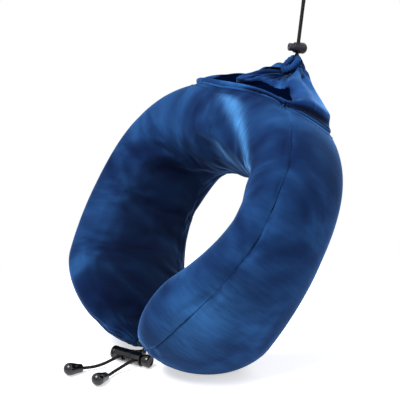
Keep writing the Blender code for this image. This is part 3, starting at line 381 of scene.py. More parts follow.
# %% Velour material
def velour(name, deep, middle_tone, bright, sheen):
    made, tree, shader = new_material(name)
    spot = add(tree, "ShaderNodeTexCoord").outputs["Object"]
    place = add(tree, "ShaderNodeAttribute", attribute_name="nap_place").outputs["Vector"]
    bands = pile_marks(tree, place, BAND_MM, BAND_LONG_MM, 2.5, 0.4)
    streaks = pile_marks(tree, place, STREAK_MM, STREAK_LONG_MM, 4.0, 0.3)
    nap = add(tree, "ShaderNodeMix", {2: bands.outputs["Fac"], 3: streaks.outputs["Fac"]},
              data_type="FLOAT", Factor=0.10)
    tones = add(tree, "ShaderNodeValToRGB", {0: nap.outputs[0]})
    tones.color_ramp.interpolation = "B_SPLINE"
    first, last = tones.color_ramp.elements
    first.position, first.color = DEEP_SHARE, hex_colour(deep)
    last.position, last.color = BRIGHT_SHARE, hex_colour(bright)
    tones.color_ramp.elements.new((DEEP_SHARE + BRIGHT_SHARE) / 2.0).color = hex_colour(middle_tone)
    # painted sheen: where the pile is brushed, the colour is mixed toward a pale blue, broken up by the
    # streaks
    brushed_sheen = add(tree, "ShaderNodeAttribute", attribute_name="brushed_sheen").outputs["Fac"]
    ragged = add(tree, "ShaderNodeMapRange", {0: streaks.outputs["Fac"]})
    ragged.inputs["From Min"].default_value, ragged.inputs["From Max"].default_value = 0.38, 0.60
    ragged.inputs["To Min"].default_value = 0.60
    painted_sheen_share = add(tree, "ShaderNodeMath", {0: brushed_sheen, 1: ragged.outputs[0]}, operation="MULTIPLY")
    painted_sheen_tone = add(tree, "ShaderNodeMix", {0: painted_sheen_share.outputs[0], 6: tones.outputs[0]}, data_type="RGBA")
    painted_sheen_tone.inputs[7].default_value = hex_colour(BRUSHED_SHEEN_PALE)
    # painted shade: the stored shade value mixes the colour toward a near-black navy
    shade_painted = add(tree, "ShaderNodeAttribute", attribute_name="shade_painted").outputs["Fac"]
    pocket = add(tree, "ShaderNodeMapRange", {0: shade_painted}, interpolation_type="SMOOTHSTEP")
    pocket.inputs["From Min"].default_value, pocket.inputs["From Max"].default_value = 0.20, 0.85
    depth = add(tree, "ShaderNodeMix", {0: pocket.outputs[0], 6: painted_sheen_tone.outputs[2]}, data_type="RGBA")
    depth.inputs[7].default_value = hex_colour(PAINTED_SHADE_DARK)
    tree.links.new(depth.outputs[2], shader.inputs["Base Color"])
    tufts = add(tree, "ShaderNodeTexNoise", {"Vector": spot}, Scale=per_metre(TUFT_MM), Detail=2.0)
    pile = add(tree, "ShaderNodeBump", {"Height": tufts.outputs["Fac"]}, Strength=0.3, Distance=0.0005)
    lie = add(tree, "ShaderNodeBump", {"Height": nap.outputs[0], "Normal": pile.outputs[0]},
              Strength=0.3, Distance=0.003)
    tree.links.new(lie.outputs[0], shader.inputs["Normal"])
    shader.inputs["Roughness"].default_value = 0.9
    shader.inputs["Specular IOR Level"].default_value = 0.08 * min(1.0, 2.0 * sheen)
    shader.inputs["Sheen Weight"].default_value = sheen
    shader.inputs["Sheen Roughness"].default_value = 0.30
    shader.inputs["Sheen Tint"].default_value = hex_colour(RIM_TINT)
    return made


# knitted polyester, its pile cut short and dyed navy: deep blue, with pale rims and brushed patches of
# painted sheen
cover_velour = velour("navy_velour", "031033", "0D2852", "265287", sheen=0.85)
print("velour", cover_velour.name, "with", len(cover_velour.node_tree.nodes), "nodes")

# %% [markdown]
# ### Values that the cloth carries
# A mesh can hold a value at each of its points, and a material can read it by name. Here they are the
# point's place on the cloth, its painted sheen where the pile is brushed, and its painted shade. The
# painted shade starts from shelter, which is measured by looking out from each point in many directions
# and counting how many meet other cloth nearby.


# %% Carry a value and measure shelter
def carry(obj, name, kind, values):
    """Stores a value at every point of a piece."""
    made = obj.data.attributes.new(name, kind, "POINT")
    field = "vector" if kind == "FLOAT_VECTOR" else "value"
    made.data.foreach_set(field, np.asarray(values, np.float32).ravel())


def shelter(obj, trees, reach, rays):
    """How much of the open space over each point is closed off by the trees' surfaces, from 0 to 1."""
    obj.data.update()
    golden = math.pi * (3.0 - math.sqrt(5.0))
    shares = []
    for v in obj.data.vertices:
        n = v.normal
        across = n.orthogonal().normalized()
        other = n.cross(across)
        blocked = 0
        for k in range(rays):
            rise = math.sqrt(1.0 - (k + 0.5) / rays)
            out = math.sqrt(1.0 - rise * rise)
            way = n * rise + across * (out * math.cos(golden * k)) + other * (out * math.sin(golden * k))
            if any(tree.ray_cast(v.co + n * 0.0006, way, reach)[0] is not None for tree in trees):
                blocked += 1
        shares.append(blocked / rays)
    return np.array(shares)


print("the cloth will carry nap_place, brushed and sheltered")

# %% [markdown]
# ## The cover
# The real cover is two panels, sewn together along the top and along the inner rim, and the foam fills
# it tight. A grid laid along the middle line gives every point a place on a panel and a distance from
# the nearest seam. The seams are then held still, as thread holds them, while cloth simulation blows the
# panels out against them. This gives the soft crowning and small puckers of a filled cover.

# %% A grid over the cover
COVER_STATIONS, PANEL_STEPS = 164, 46
EXIT_DEPTH = (1.0 - (1.0 - (CORD_EXIT / HALF_WIDTHS[2]) ** NOSE_POWER) ** (1.0 / NOSE_POWER)) * NOSE_LENGTH
SEAM_DEPTH, SEAM_REACH = 0.0015, 0.0085
CREASE_DEPTH, CREASE_REACH = 0.0012, 0.0017


def stations(count, first):
    """Distances along the middle line, closer together near the arm ends."""
    fine = np.linspace(first, HALF_RUN, 4001)
    weight = np.concatenate([[0.0], np.cumsum(1.0 + 2.2 * np.exp(-fine[1:] / 0.014))])
    half = np.interp(np.linspace(0.0, weight[-1], count // 2 + 1), weight, fine)
    return np.concatenate([half - HALF_RUN, (HALF_RUN - half)[::-1][1:]])


def eased_steps(count):
    t = np.linspace(0.0, 1.0, count + 1)
    return 0.38 * t + 0.62 * (1.0 - np.cos(math.pi * t)) / 2.0


runs = stations(COVER_STATIONS, EXIT_DEPTH)
turns = turn_at(runs)
top_seam, rim_seam = along(TOP_SEAM_DEG, turns), along(RIM_SEAM_DEG, turns)
share = eased_steps(PANEL_STEPS)[:-1]
neck_angles = top_seam[:, None] + (rim_seam - top_seam)[:, None] * share
outer_angles = rim_seam[:, None] + (top_seam + 360.0 - rim_seam)[:, None] * share
grid_angle = np.concatenate([neck_angles, outer_angles], 1)
grid_run = np.repeat(runs[:, None], grid_angle.shape[1], 1)
surface = bare(grid_run, grid_angle)
outward = facing(grid_run, grid_angle)


def seam_distance(points):
    """Distance of each point from the nearest seam, along its own ring."""
    step = np.linalg.norm(np.roll(points, -1, 1) - points, axis=-1)
    travelled = np.concatenate([np.zeros((len(points), 1)), np.cumsum(step, 1)], 1)
    ring, here, rim = travelled[:, -1:], travelled[:, :-1], travelled[:, PANEL_STEPS][:, None]
    return np.minimum(np.minimum(here, ring - here), np.abs(here - rim))


from_seam = seam_distance(surface)
shrink = np.clip((HALF_RUN - np.abs(grid_run)) / NOSE_LENGTH * 3.0, 0.0, 1.0)
draw_in = shrink * (SEAM_DEPTH * fading(from_seam, SEAM_REACH))
print("cover grid", grid_run.shape, "finest step", round(from_seam[from_seam > 0].min() / MM, 2), "mm")


# %% Press the cover on the floor and make its mesh
def pressed(p, inset=0.0):
    """Points in the frame, with what would sink into the floor flattened against it."""
    q = leaned(p)
    level = FLOOR - 0.5 * PRESS_ROUND + inset
    soft = np.clip((q[..., 2] - level) / PRESS_ROUND, -40.0, 20.0)
    flat = level + PRESS_ROUND * np.log1p(np.exp(soft))
    q[..., 2] = np.where(soft < 20.0, np.maximum(flat, level + 0.5 * PRESS_ROUND), q[..., 2])
    return q - LOOP_AT


def grid_mesh(name, points, closed=True, turned=False):
    """A mesh over rows of points; each row may close on itself, and turned faces it the other way."""
    rows, columns = points.shape[:2]
    index = np.arange(rows * columns).reshape(rows, columns)
    wide = index if not closed else np.concatenate([index, index[:, :1]], 1)
    quads = np.stack([wide[:-1, :-1], wide[:-1, 1:], wide[1:, 1:], wide[1:, :-1]], -1).reshape(-1, 4)
    data = bpy.data.meshes.new(name)
    data.from_pydata(points.reshape(-1, 3).tolist(), [], (quads[:, ::-1] if turned else quads).tolist())
    data.shade_smooth()
    made = bpy.data.objects.new(name, data)
    bpy.context.scene.collection.objects.link(made)
    return made


def coordinates(mesh):
    co = np.empty(len(mesh.vertices) * 3)
    mesh.vertices.foreach_get("co", co)
    return co.reshape(-1, 3)


FILL_ROOM, STITCHED_REACH = 0.0010, 0.004
at_seam = fading(from_seam, STITCHED_REACH)
flat_cover = pressed(surface - outward * (draw_in + FILL_ROOM * (1.0 - at_seam))[..., None])
cover = grid_mesh("pillow_cover", flat_cover)
print("cover before it is filled", len(cover.data.vertices), "points")


# %% Cloth simulation
CLOTH_MASS, TENSION, CLOTH_GAP = 0.25, 15.0, 0.0006     # kg a square metre, stiffness and metres


def simulate_cloth(obj, frames, pins, pressure=0.0, gravity=0.0, grow=0.0, bend=0.5, quality=5, bumpers=()):
    """Runs Blender's cloth on obj and returns where its points end. pins is a weight for each point."""
    group = obj.vertex_groups.new(name="sewn")
    for weight in np.unique(np.round(pins, 2)):
        if weight > 0.0:
            group.add(np.nonzero(np.round(pins, 2) == weight)[0].tolist(), float(weight), "REPLACE")
    for bumper in bumpers:
        bumper.modifiers.new("bumper", "COLLISION")
        bumper.collision.thickness_outer = 0.0008
        bumper.collision.cloth_friction = 6.0
    cloth = obj.modifiers.new("cloth", "CLOTH")
    settings = cloth.settings
    settings.quality = quality
    settings.mass = CLOTH_MASS
    settings.tension_stiffness = settings.compression_stiffness = TENSION
    settings.shear_stiffness = TENSION * 0.4
    settings.bending_stiffness = bend
    settings.vertex_group_mass = "sewn"
    settings.shrink_min = settings.shrink_max = -grow
    settings.effector_weights.gravity = gravity
    if pressure:
        settings.use_pressure = True
        settings.uniform_pressure_force = pressure
    cloth.collision_settings.use_collision = bool(bumpers)
    cloth.collision_settings.distance_min = CLOTH_GAP
    cloth.point_cache.frame_start, cloth.point_cache.frame_end = 1, frames
    for number in range(1, frames + 1):
        bpy.context.scene.frame_set(number)
    shown = obj.evaluated_get(bpy.context.evaluated_depsgraph_get())
    ended = coordinates(shown.data)
    obj.modifiers.remove(cloth)
    for bumper in bumpers:
        bumper.modifiers.remove(bumper.modifiers["bumper"])
    bpy.context.scene.frame_set(1)
    return ended


def place_points(obj, points):
    obj.data.vertices.foreach_set("co", np.asarray(points, float).ravel())
    obj.data.update()


def capped(start, ended, most):
    move = ended - start
    size = np.linalg.norm(move, axis=-1, keepdims=True)
    return start + move * np.minimum(1.0, most / np.maximum(size, 1e-9))


print("cloth weighs", CLOTH_MASS, "kg a square metre")

# %% Blow the cover out against its seams
COVER_FRAMES, COVER_PRESSURE, COVER_GROWS, COVER_MOST = 14, 5.0, 0.025, 0.0026
rest = coordinates(cover.data)
sewn = (from_seam < 0.0004) | (HALF_RUN - np.abs(grid_run) < EXIT_DEPTH + 0.004)
filled = simulate_cloth(cover, COVER_FRAMES, sewn.ravel().astype(float),
                        pressure=COVER_PRESSURE, grow=COVER_GROWS, bend=0.6)
moved = np.linalg.norm(filled - rest, axis=1)
print("cover moved", round(moved.mean() / MM, 2), "mm on average,", round(moved.max() / MM, 2), "at most")
place_points(cover, capped(rest, filled, COVER_MOST))

# %% [markdown]
# ### Seams and arm ends
# Thread pulls the cloth down into a narrow crease along each seam, with small puckers beside it. At the
# arm ends the cloth is drawn together round the cord, so the puckers run in to the tip and the edge turns
# in beside the cord. All of this is finer than the simulation, so it is pressed in afterwards.

# %% Crease the seams and pucker them
PUCKER_MM, PUCKER_DEPTH, PUCKER_REACH = 8.5, 0.00035, 0.0065
TIP_FOLDS, TIP_DEPTH, TIP_REACH = 13, 0.0011, 0.022
full = coordinates(cover.data).reshape(grid_run.shape + (3,))
cover_normal = np.cross(np.roll(full, -1, 1) - np.roll(full, 1, 1), np.gradient(full, axis=0))
cover_normal /= np.linalg.norm(cover_normal, axis=-1, keepdims=True)
cover_normal *= np.sign(np.sum(cover_normal * leaned(outward), -1).mean())
to_tip = HALF_RUN - np.abs(grid_run)
off_floor = ease((full[..., 2] - FLOOR_Z - 0.0012) / 0.003)
crease = -0.6 * CREASE_DEPTH * fading(from_seam, CREASE_REACH) * ease(to_tip / 0.02)
wave = np.cos(2.0 * math.pi * grid_run / (PUCKER_MM * MM) + 1.3 * np.sin(grid_run * 61.0))
pucker = PUCKER_DEPTH * wave * fading(from_seam, PUCKER_REACH) * ease(from_seam / 0.002)
tip_phase = np.radians(grid_angle) * TIP_FOLDS + 0.8 * np.sin(2.0 * np.radians(grid_angle))
tip_fold = TIP_DEPTH * (np.abs(np.cos(tip_phase / 2.0)) - 0.7)
tip_fold = tip_fold * fading(to_tip, TIP_REACH) * ease(to_tip / 0.006)
full = full + cover_normal * ((crease + pucker + tip_fold) * off_floor)[..., None]
print("puckers every", PUCKER_MM, "mm, folds at each tip", TIP_FOLDS)


# %% Turn in the arm ends
CORD_BESIDE = 0.00185
TURN_IN = ((0.35, -0.0004), (0.75, -0.0002), (1.0, 0.0006), (1.0, 0.0045))     # share of the way, depth


def turned_in(ring, next_ring):
    """Rows that carry an open end in beside the cord."""
    centre_point = ring.mean(0)
    inward = next_ring.mean(0) - centre_point
    inward /= np.linalg.norm(inward)
    spokes = ring - centre_point
    size = np.linalg.norm(spokes, axis=1, keepdims=True)
    return [centre_point + spokes / size * (size * (1.0 - share) + CORD_BESIDE * share) + inward * deep
            for share, deep in TURN_IN]


def with_end_rows(values):
    """Gives the turned-in rows at each end the values of the row that they start from."""
    return np.concatenate([values[:1]] * len(TURN_IN) + [values] + [values[-1:]] * len(TURN_IN))


front_rows, back_rows = turned_in(full[0], full[1]), turned_in(full[-1], full[-2])
closed = np.concatenate([np.stack(front_rows[::-1]), full, np.stack(back_rows)])
bpy.data.objects.remove(cover, do_unlink=True)
cover = grid_mesh("pillow_cover", closed)
print("cover", len(cover.data.vertices), "points")

# %% Give the cover its place values and its brushed patches of painted sheen
around_step = np.linalg.norm(np.roll(surface, -1, 1) - surface, axis=-1)
section_place = np.cumsum(around_step, 1)
section_place = np.minimum(section_place, section_place[:, -1:] - section_place)
nap_place = np.stack([grid_run, section_place, 0.0 * grid_run], -1)
carry(cover, "nap_place", "FLOAT_VECTOR", with_end_rows(nap_place))
turned_angle = (np.broadcast_to(grid_angle, grid_run.shape) + 40.0) % 360.0 - 40.0
# painted sheen: the brushed pile beside the neck and on the near arm's end is made pale in the colour
beside_neck = fading(grid_run - 0.021 - (turned_angle - 80.0) * 0.00113, 0.0130)
beside_neck *= ease((turned_angle - 68.0) / 14.0) * ease((152.0 - turned_angle) / 22.0)
on_arm_end = fading(grid_run - 0.240, 0.045) * fading(turned_angle - 32.0, 32.0)
painted_sheen_stroke = np.maximum(0.85 * beside_neck, 0.22 * on_arm_end)
carry(cover, "brushed_sheen", "FLOAT", with_end_rows(painted_sheen_stroke))
print("brushed most", round(painted_sheen_stroke.max(), 2))
wear(cover, cover_velour)
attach(cover, "pillow")
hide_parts("foam_body", "cover_neck_panel", "cover_outer_panel")

# %% [markdown]
# ## Cord
# The cords are braided polyester, black, 2.5 mm on the bag and 3 mm on the arm ends. A braid is many
# strands that cross over and under each other in small diamonds. The cord is a round tube along its route,
# and each point carries its place round and along the cord, so two crossing waves can draw the strands at
# their true size of about 0.9 mm. The routes are the ones that the solid cords follow.

# %% Braided cord material
STRAND_MM = 0.95


def braid(name, shade, light):
    made, tree, shader = new_material(name)
    place = add(tree, "ShaderNodeAttribute", attribute_name="nap_place").outputs["Vector"]
    parts = add(tree, "ShaderNodeSeparateXYZ", {0: place})
    waves = []
    for sign in (1.0, -1.0):
        slope = add(tree, "ShaderNodeMath", {0: parts.outputs[0]}, operation="MULTIPLY")
        slope.inputs[1].default_value = sign
        line = add(tree, "ShaderNodeMath", {0: slope.outputs[0], 1: parts.outputs[1]}, operation="ADD")
        turns_in = add(tree, "ShaderNodeMath", {0: line.outputs[0]}, operation="MULTIPLY")
        turns_in.inputs[1].default_value = math.pi * per_metre(STRAND_MM)
        waves.append(add(tree, "ShaderNodeMath", {0: turns_in.outputs[0]}, operation="SINE").outputs[0])
    cross = add(tree, "ShaderNodeMath", {0: waves[0], 1: waves[1]}, operation="MULTIPLY")
    strands = add(tree, "ShaderNodeMapRange", {0: cross.outputs[0]}, interpolation_type="SMOOTHSTEP")
    strands.inputs["From Min"].default_value, strands.inputs["From Max"].default_value = -0.6, 0.7
    tone = add(tree, "ShaderNodeMix", {0: strands.outputs[0]}, data_type="RGBA")
    tone.inputs[6].default_value, tone.inputs[7].default_value = hex_colour(shade), hex_colour(light)
    tree.links.new(tone.outputs[2], shader.inputs["Base Color"])
    relief = add(tree, "ShaderNodeBump", {"Height": strands.outputs[0]}, Strength=0.8, Distance=0.0004)
    tree.links.new(relief.outputs[0], shader.inputs["Normal"])
    shader.inputs["Roughness"].default_value = 0.6
    shader.inputs["Specular IOR Level"].default_value = 0.18
    shader.inputs["Sheen Weight"].default_value = 0.05
    shader.inputs["Sheen Roughness"].default_value = 0.4
    return made


# dyed polyester yarn, machine-braided and heat-set: dull black, with small diamonds where strands cross
cord_braid = braid("black_braided_polyester", "020203", "0E0E12")
print("braid strands", STRAND_MM, "mm")


# %% A smooth line through a route
CURVE_STEPS = 24


def smooth_line(points, step, closed=False):
    """Points at even steps along a smooth curve through the route's own points."""
    route = [Vector(p) for p in points]
    n = len(route)
    fine = []
    for i in range(n if closed else n - 1):
        p1, p2 = route[i], route[(i + 1) % n]
        p0 = route[i - 1] if closed or i > 0 else p1 * 2.0 - p2
        p3 = route[(i + 2) % n] if closed or i + 2 < n else p2 * 2.0 - p1
        t1 = max((p1 - p0).length, 1e-9) ** 0.5
        t2 = t1 + max((p2 - p1).length, 1e-9) ** 0.5
        t3 = t2 + max((p3 - p2).length, 1e-9) ** 0.5
        for k in range(CURVE_STEPS):
            t = t1 + (t2 - t1) * k / CURVE_STEPS
            a1 = p0 * ((t1 - t) / t1) + p1 * (t / t1)
            a2 = p1 * ((t2 - t) / (t2 - t1)) + p2 * ((t - t1) / (t2 - t1))
            a3 = p2 * ((t3 - t) / (t3 - t2)) + p3 * ((t - t2) / (t3 - t2))
            b1 = a1 * ((t2 - t) / t2) + a2 * (t / t2)
            b2 = a2 * ((t3 - t) / (t3 - t1)) + a3 * ((t - t1) / (t3 - t1))
            fine.append(b1 * ((t2 - t) / (t2 - t1)) + b2 * ((t - t1) / (t2 - t1)))
    fine.append(route[0] if closed else route[-1])
    fine = np.array([tuple(p) for p in fine])
    travelled = np.concatenate([[0.0], np.cumsum(np.linalg.norm(np.diff(fine, axis=0), axis=1))])
    count = max(2, round(travelled[-1] / step))
    at = np.linspace(0.0, travelled[-1], count + 1)
    return np.stack([np.interp(at, travelled, fine[:, k]) for k in range(3)], -1), travelled[-1]


print("a line has", CURVE_STEPS, "points between two points of its route")


# %% A round tube along a line
def cord_tube(name, line, diameter, material, sides=16):
    """A closed tube round a line, which carries each point's place round it and along it."""
    way = np.gradient(line, axis=0)
    way /= np.linalg.norm(way, axis=1, keepdims=True)
    across = np.cross(way[0], (0.3, 0.5, 0.8))
    frames = []
    for w in way:
        across = across - w * np.dot(across, w)
        across /= np.linalg.norm(across)
        frames.append(across.copy())
    across = np.array(frames)
    other = np.cross(way, across)
    travelled = np.concatenate([[0.0], np.cumsum(np.linalg.norm(np.diff(line, axis=0), axis=1))])
    angles = np.linspace(0.0, 2.0 * math.pi, sides, endpoint=False)
    spokes = across[:, None, :] * np.cos(angles)[None, :, None]
    spokes = spokes + other[:, None, :] * np.sin(angles)[None, :, None]
    rows = line[:, None, :] + diameter / 2.0 * spokes
    made = grid_mesh(name, rows)
    round_place = np.abs(angles - math.pi) * diameter / 2.0
    place = np.zeros(rows.shape)
    place[..., 0], place[..., 1] = round_place[None, :], travelled[:, None]
    ends = bmesh.new()
    ends.from_mesh(made.data)
    bmesh.ops.holes_fill(ends, edges=[e for e in ends.edges if e.is_boundary], sides=0)
    bmesh.ops.recalc_face_normals(ends, faces=ends.faces)
    ends.to_mesh(made.data)
    ends.free()
    made.data.shade_smooth()
    carry(made, "nap_place", "FLOAT_VECTOR", place)
    return wear(made, material)


print("cords are tubes with 16 sides")

# %% [markdown]
# ## The bag
# The bag holds the pillow when it is rolled up. It is the same velour, sewn to the nape along one long
# ring and gathered on a cord at its mouth. A grid runs from the seam over the soft front lip, down into
# the pocket behind it, up to the rear rim and in to the mouth. Cloth simulation with a little spare cloth
# lets it sag under its own weight, and the gathers are drawn on afterwards, so they stay crisp.

# %% Sizes of the bag
BAG_CLOTH, BAG_SEAT = 0.0010, 0.0005
BAG_HALF_WIDTH, BAG_LEFT_SHARE, BAG_TOP_DEG, BAG_LOW_DEG = 0.066, 0.88, 58.0, -50.0
BAG_SQUARENESS, BAG_WIDENING = 2.3, 0.05
EDGE_FRONT, EDGE_LEFT = (0.0, 0.0045, 0.0055), (0.016, 0.019, 0.008)
EDGE_RIGHT, EDGE_BACK = (-0.001, 0.015, 0.006), (0.0, 0.017, 0.007)
WALL_LEFT, WALL_RIGHT = 0.55, 0.50
HOLLOW_LIFT, HOLLOW_RUN, HOLLOW_TURN = 0.0010, 0.58, 0.12
TUCK_RUN, TUCK_TURN = 0.92, 0.80
REAR_RIM = (0.040, PLAN_NAPE_REACH + 0.0525, 0.010)
RIM_SAG = 0.0045
HEM_OUTER, HEM_SEAM = 0.0031, math.radians(50.0)
AROUND, RINGS = 320, 56
MOUTH_FACE = np.cross(MOUTH_WAY, ACROSS)
print("bag", round(2.0 * BAG_HALF_WIDTH / MM), "mm wide at its seam")


# %% Rings that the bag's cloth passes
def off_skin(run, angle, lift):
    """A point above the drawn-in cover; the seams' pull is measured from each seam's own angle."""
    turn = turn_at(run)
    pull = np.zeros(np.shape(run))
    for seam in (along(TOP_SEAM_DEG, turn), along(RIM_SEAM_DEG, turn)):
        away = (angle - seam + 180.0) % 360.0 - 180.0
        middle_angle = seam + away * 0.5
        two_degrees = bare(run, middle_angle + 1.0) - bare(run, middle_angle - 1.0)
        speed = np.linalg.norm(two_degrees, axis=-1) / math.radians(2.0)
        pull = np.maximum(pull, fading(np.radians(np.abs(away)) * speed, SEAM_REACH))
    return bare(run, angle) - facing(run, angle) * (SEAM_DEPTH * pull - lift)[..., None]


def bag_foot(theta):
    to_right, to_front = np.cos(theta), np.sin(theta)
    run = BAG_HALF_WIDTH * power(to_right, BAG_SQUARENESS) * (1.0 - BAG_WIDENING * to_front)
    run = run * np.where(to_right > 0.0, 1.0, BAG_LEFT_SHARE)
    centre, half = (BAG_TOP_DEG + BAG_LOW_DEG) / 2.0, (BAG_TOP_DEG - BAG_LOW_DEG) / 2.0
    return run, centre + half * power(to_front, BAG_SQUARENESS)


def mouth_ring(theta, away):
    wide = away * math.cos(HEM_SEAM)
    long_way = (MOUTH_LONG + wide) * np.sin(theta)[:, None]
    short_way = ((MOUTH_SHORT + wide) * np.cos(theta))[:, None]
    return MOUTH - MOUTH_WAY * long_way + ACROSS * short_way + MOUTH_FACE * (away * math.sin(HEM_SEAM))


def between(a, b, share):
    return a + (b - a) * share


def hump(turn, middle_deg, width_deg):
    """1 at one angle round the bag, falling away on both sides; 0 is its right, 90 its front."""
    return fading(np.degrees(turn) - middle_deg, width_deg)


theta = 2.0 * math.pi * (np.arange(AROUND) + 0.5) / AROUND
to_right, to_front = np.cos(theta), np.sin(theta)
foot_run, foot_angle = bag_foot(theta)
foot = off_skin(foot_run, foot_angle, BAG_SEAT + BAG_CLOTH * 0.3)
wall_start = np.where(to_right > 0.0, WALL_RIGHT, WALL_LEFT)
wall = ease((wall_start - to_front) / wall_start)[:, None]
rearward = (np.maximum(-to_front, 0.0) ** 2)[:, None]
side_edge = np.where(to_right[:, None] > 0.0, np.array(EDGE_RIGHT), np.array(EDGE_LEFT))
edge = foot + (1.0 - wall) * np.array(EDGE_FRONT) + wall * rearward * np.array(EDGE_BACK)
edge = edge + wall * (1.0 - rearward) * side_edge
end = mouth_ring(theta, HEM_OUTER + 0.0003 + BAG_CLOTH)
centre = (BAG_TOP_DEG + BAG_LOW_DEG) / 2.0
clear = BAG_SEAT + BAG_CLOTH + HOLLOW_LIFT
low_point = off_skin(foot_run * HOLLOW_RUN, centre + (foot_angle - centre) * HOLLOW_TURN, clear)
tuck_point = off_skin(foot_run * TUCK_RUN, centre + (foot_angle - centre) * TUCK_TURN, clear)
dip = ease((to_front - 0.1) / 0.45)[:, None]
hollow = between(between(edge, end, 0.33), low_point, dip)
tuck = between(between(edge, hollow, 0.5), tuck_point, dip)
rear_rim = np.stack([REAR_RIM[0] * to_right, REAR_RIM[1] + 0.0 * to_right, REAR_RIM[2] + 0.0 * to_right], -1)
rim = between(between(edge, end, 0.62), rear_rim, dip)
rim[:, 1] -= RIM_SAG * ease((0.2 - to_right) / 0.6) * ease((0.75 + to_front) / 0.5)
fan_drop = hump(theta, 56.0, 21.0)[:, None]     # here the gathered cloth hangs straight into the pocket
rim = between(rim, between(hollow, end, 0.50), 0.80 * fan_drop)
near = between(end, rim, 0.45)
near[:, 1:] += np.array((0.0050, 0.0020)) * hump(theta, 172.0, 34.0)[:, None]
roll = between(foot, edge, 0.45) + 0.0016 * (1.0 - wall) * np.array((0.0, -0.8, 0.6))
route = np.stack([foot, roll, edge, tuck, hollow, rim, near, end])
route_share = np.array([0.0, 0.5, 1.0, 1.5, 2.0, 3.0, 4.0, 5.0])
print("bag seam", round(np.linalg.norm(np.diff(foot, axis=0), axis=1).sum() / MM), "mm round")


# %% Round the cloth between its rings
def rounded(route, t):
    """Smooth curves through the route's rings; t is a share as in route_share."""
    i = min(int(np.searchsorted(route_share, t, side="right")) - 1, len(route) - 2)
    f = (t - route_share[i]) / (route_share[i + 1] - route_share[i])
    p1, p2 = route[i], route[i + 1]
    m1 = (p2 - route[max(i - 1, 0)]) * 0.5
    m2 = (route[min(i + 2, len(route) - 1)] - p1) * 0.5
    return (p1 * (2 * f ** 3 - 3 * f ** 2 + 1) + m1 * (f ** 3 - 2 * f ** 2 + f)
            + p2 * (3 * f ** 2 - 2 * f ** 3) + m2 * (f ** 3 - f ** 2))


steps = route_share[-1] * np.linspace(0.0, 1.0, RINGS)
shape = framed(np.stack([rounded(route, t) for t in steps]))
print("bag grid", shape.shape[:2])


# %% Lay the bag on the cover
def tree_of(obj):
    data = obj.data
    return BVHTree.FromPolygons([v.co for v in data.vertices], [p.vertices for p in data.polygons])


def lifted(points, tree, least):
    """Points moved out until they stand clear of a surface; least is a height for each ring."""
    moved = points.copy()
    for ring, height in enumerate(least):
        for k, p in enumerate(points[ring]):
            spot, normal, _, gap = tree.find_nearest(Vector(p))
            level = (Vector(p) - spot).dot(normal)
            if gap < 0.02 and level < height:
                moved[ring, k] = np.array(spot + normal * height)
    return moved


def normals_of(points):
    n = np.cross(np.roll(points, -1, 1) - np.roll(points, 1, 1), np.gradient(points, axis=0))
    return n / np.linalg.norm(n, axis=-1, keepdims=True)


cover_tree = tree_of(cover)
least = np.where(np.arange(RINGS) < 2, BAG_SEAT, BAG_SEAT + BAG_CLOTH + 0.0003)
shape = lifted(shape, cover_tree, least)
for time in range(6):     # the lifted points are evened out along the seam
    low_rows = shape[1:14]
    shape[1:14] = between(low_rows, (np.roll(low_rows, 1, 1) + np.roll(low_rows, -1, 1)) / 2.0, 0.5)
soft_fold = np.cos(9.0 * theta + 0.9 * np.sin(theta) + 0.5 * np.sin(3.0 * theta))
fold_room = ease((steps - 1.8) / 1.6) * (1.0 - 0.7 * ease((steps - 4.0) / 1.0))
shape = shape + normals_of(shape) * (0.0016 * fold_room[:, None] * soft_fold)[..., None]
bag = grid_mesh("bag_cloth", shape, turned=True)
print("bag before it sags", len(bag.data.vertices), "points")

# %% Let the bag sag
BAG_FRAMES, BAG_WEIGHT, BAG_GROWS, BAG_MOST = 16, 0.5, 0.02, 0.0016
held = np.zeros((RINGS, AROUND))
held[0] = held[-1] = 1.0
held[1] = held[-2] = 0.6
bag_rest = coordinates(bag.data)
sagged = simulate_cloth(bag, BAG_FRAMES, held.ravel(), gravity=BAG_WEIGHT, grow=BAG_GROWS, quality=6,
                        bumpers=[cover])
moved = np.linalg.norm(sagged - bag_rest, axis=1)
print("bag moved", round(moved.mean() / MM, 2), "mm on average,", round(moved.max() / MM, 2), "at most")
shape = capped(bag_rest, sagged, BAG_MOST).reshape(RINGS, AROUND, 3)

# %% [markdown]
# ### Gathers
# Cloth on a drawcord gathers in narrow folds with rounded backs and sharp gaps. The backs are made with
# the absolute value of a sine, which has exactly that shape. Each fold keeps its own height and its own
# length, and they fade towards the rim, where the cloth has room again.

# %% Gather the cloth round the mouth
GATHERS, GATHER_DEPTH = 23, 0.0085
phase = GATHERS * (theta + 0.42 * np.sin(theta - 1.55) + 0.05 * np.sin(3.0 * theta + 1.0)) / 2.0
number = np.floor(phase / math.pi)
fold_height = 0.72 + 0.28 * np.sin(number * 2.4 + 0.7)
front_fan = hump(theta, 62.0, 34.0)
fold_length = 1.40 + 0.45 * np.sin(number * 1.7) + 0.75 * front_fan
fold_back = np.abs(np.sin(phase)) ** 0.8 - 0.60
reach = ease((steps[:, None] - (4.3 - fold_length)) / fold_length)
reach = reach * (1.0 - 0.82 * ease((steps[:, None] - 3.6) / 1.4))
calm = 1.0 - 0.70 * hump(theta, 12.0, 17.0)
shape = shape + normals_of(shape) * (GATHER_DEPTH * reach * fold_back * fold_height * calm)[..., None]
shape = lifted(shape, cover_tree, least)
place_points(bag, shape.reshape(-1, 3))
mouth_round = math.pi * (MOUTH_LONG + MOUTH_SHORT)
print("gathers", GATHERS, "about", round(mouth_round / GATHERS / MM, 1), "mm apart")
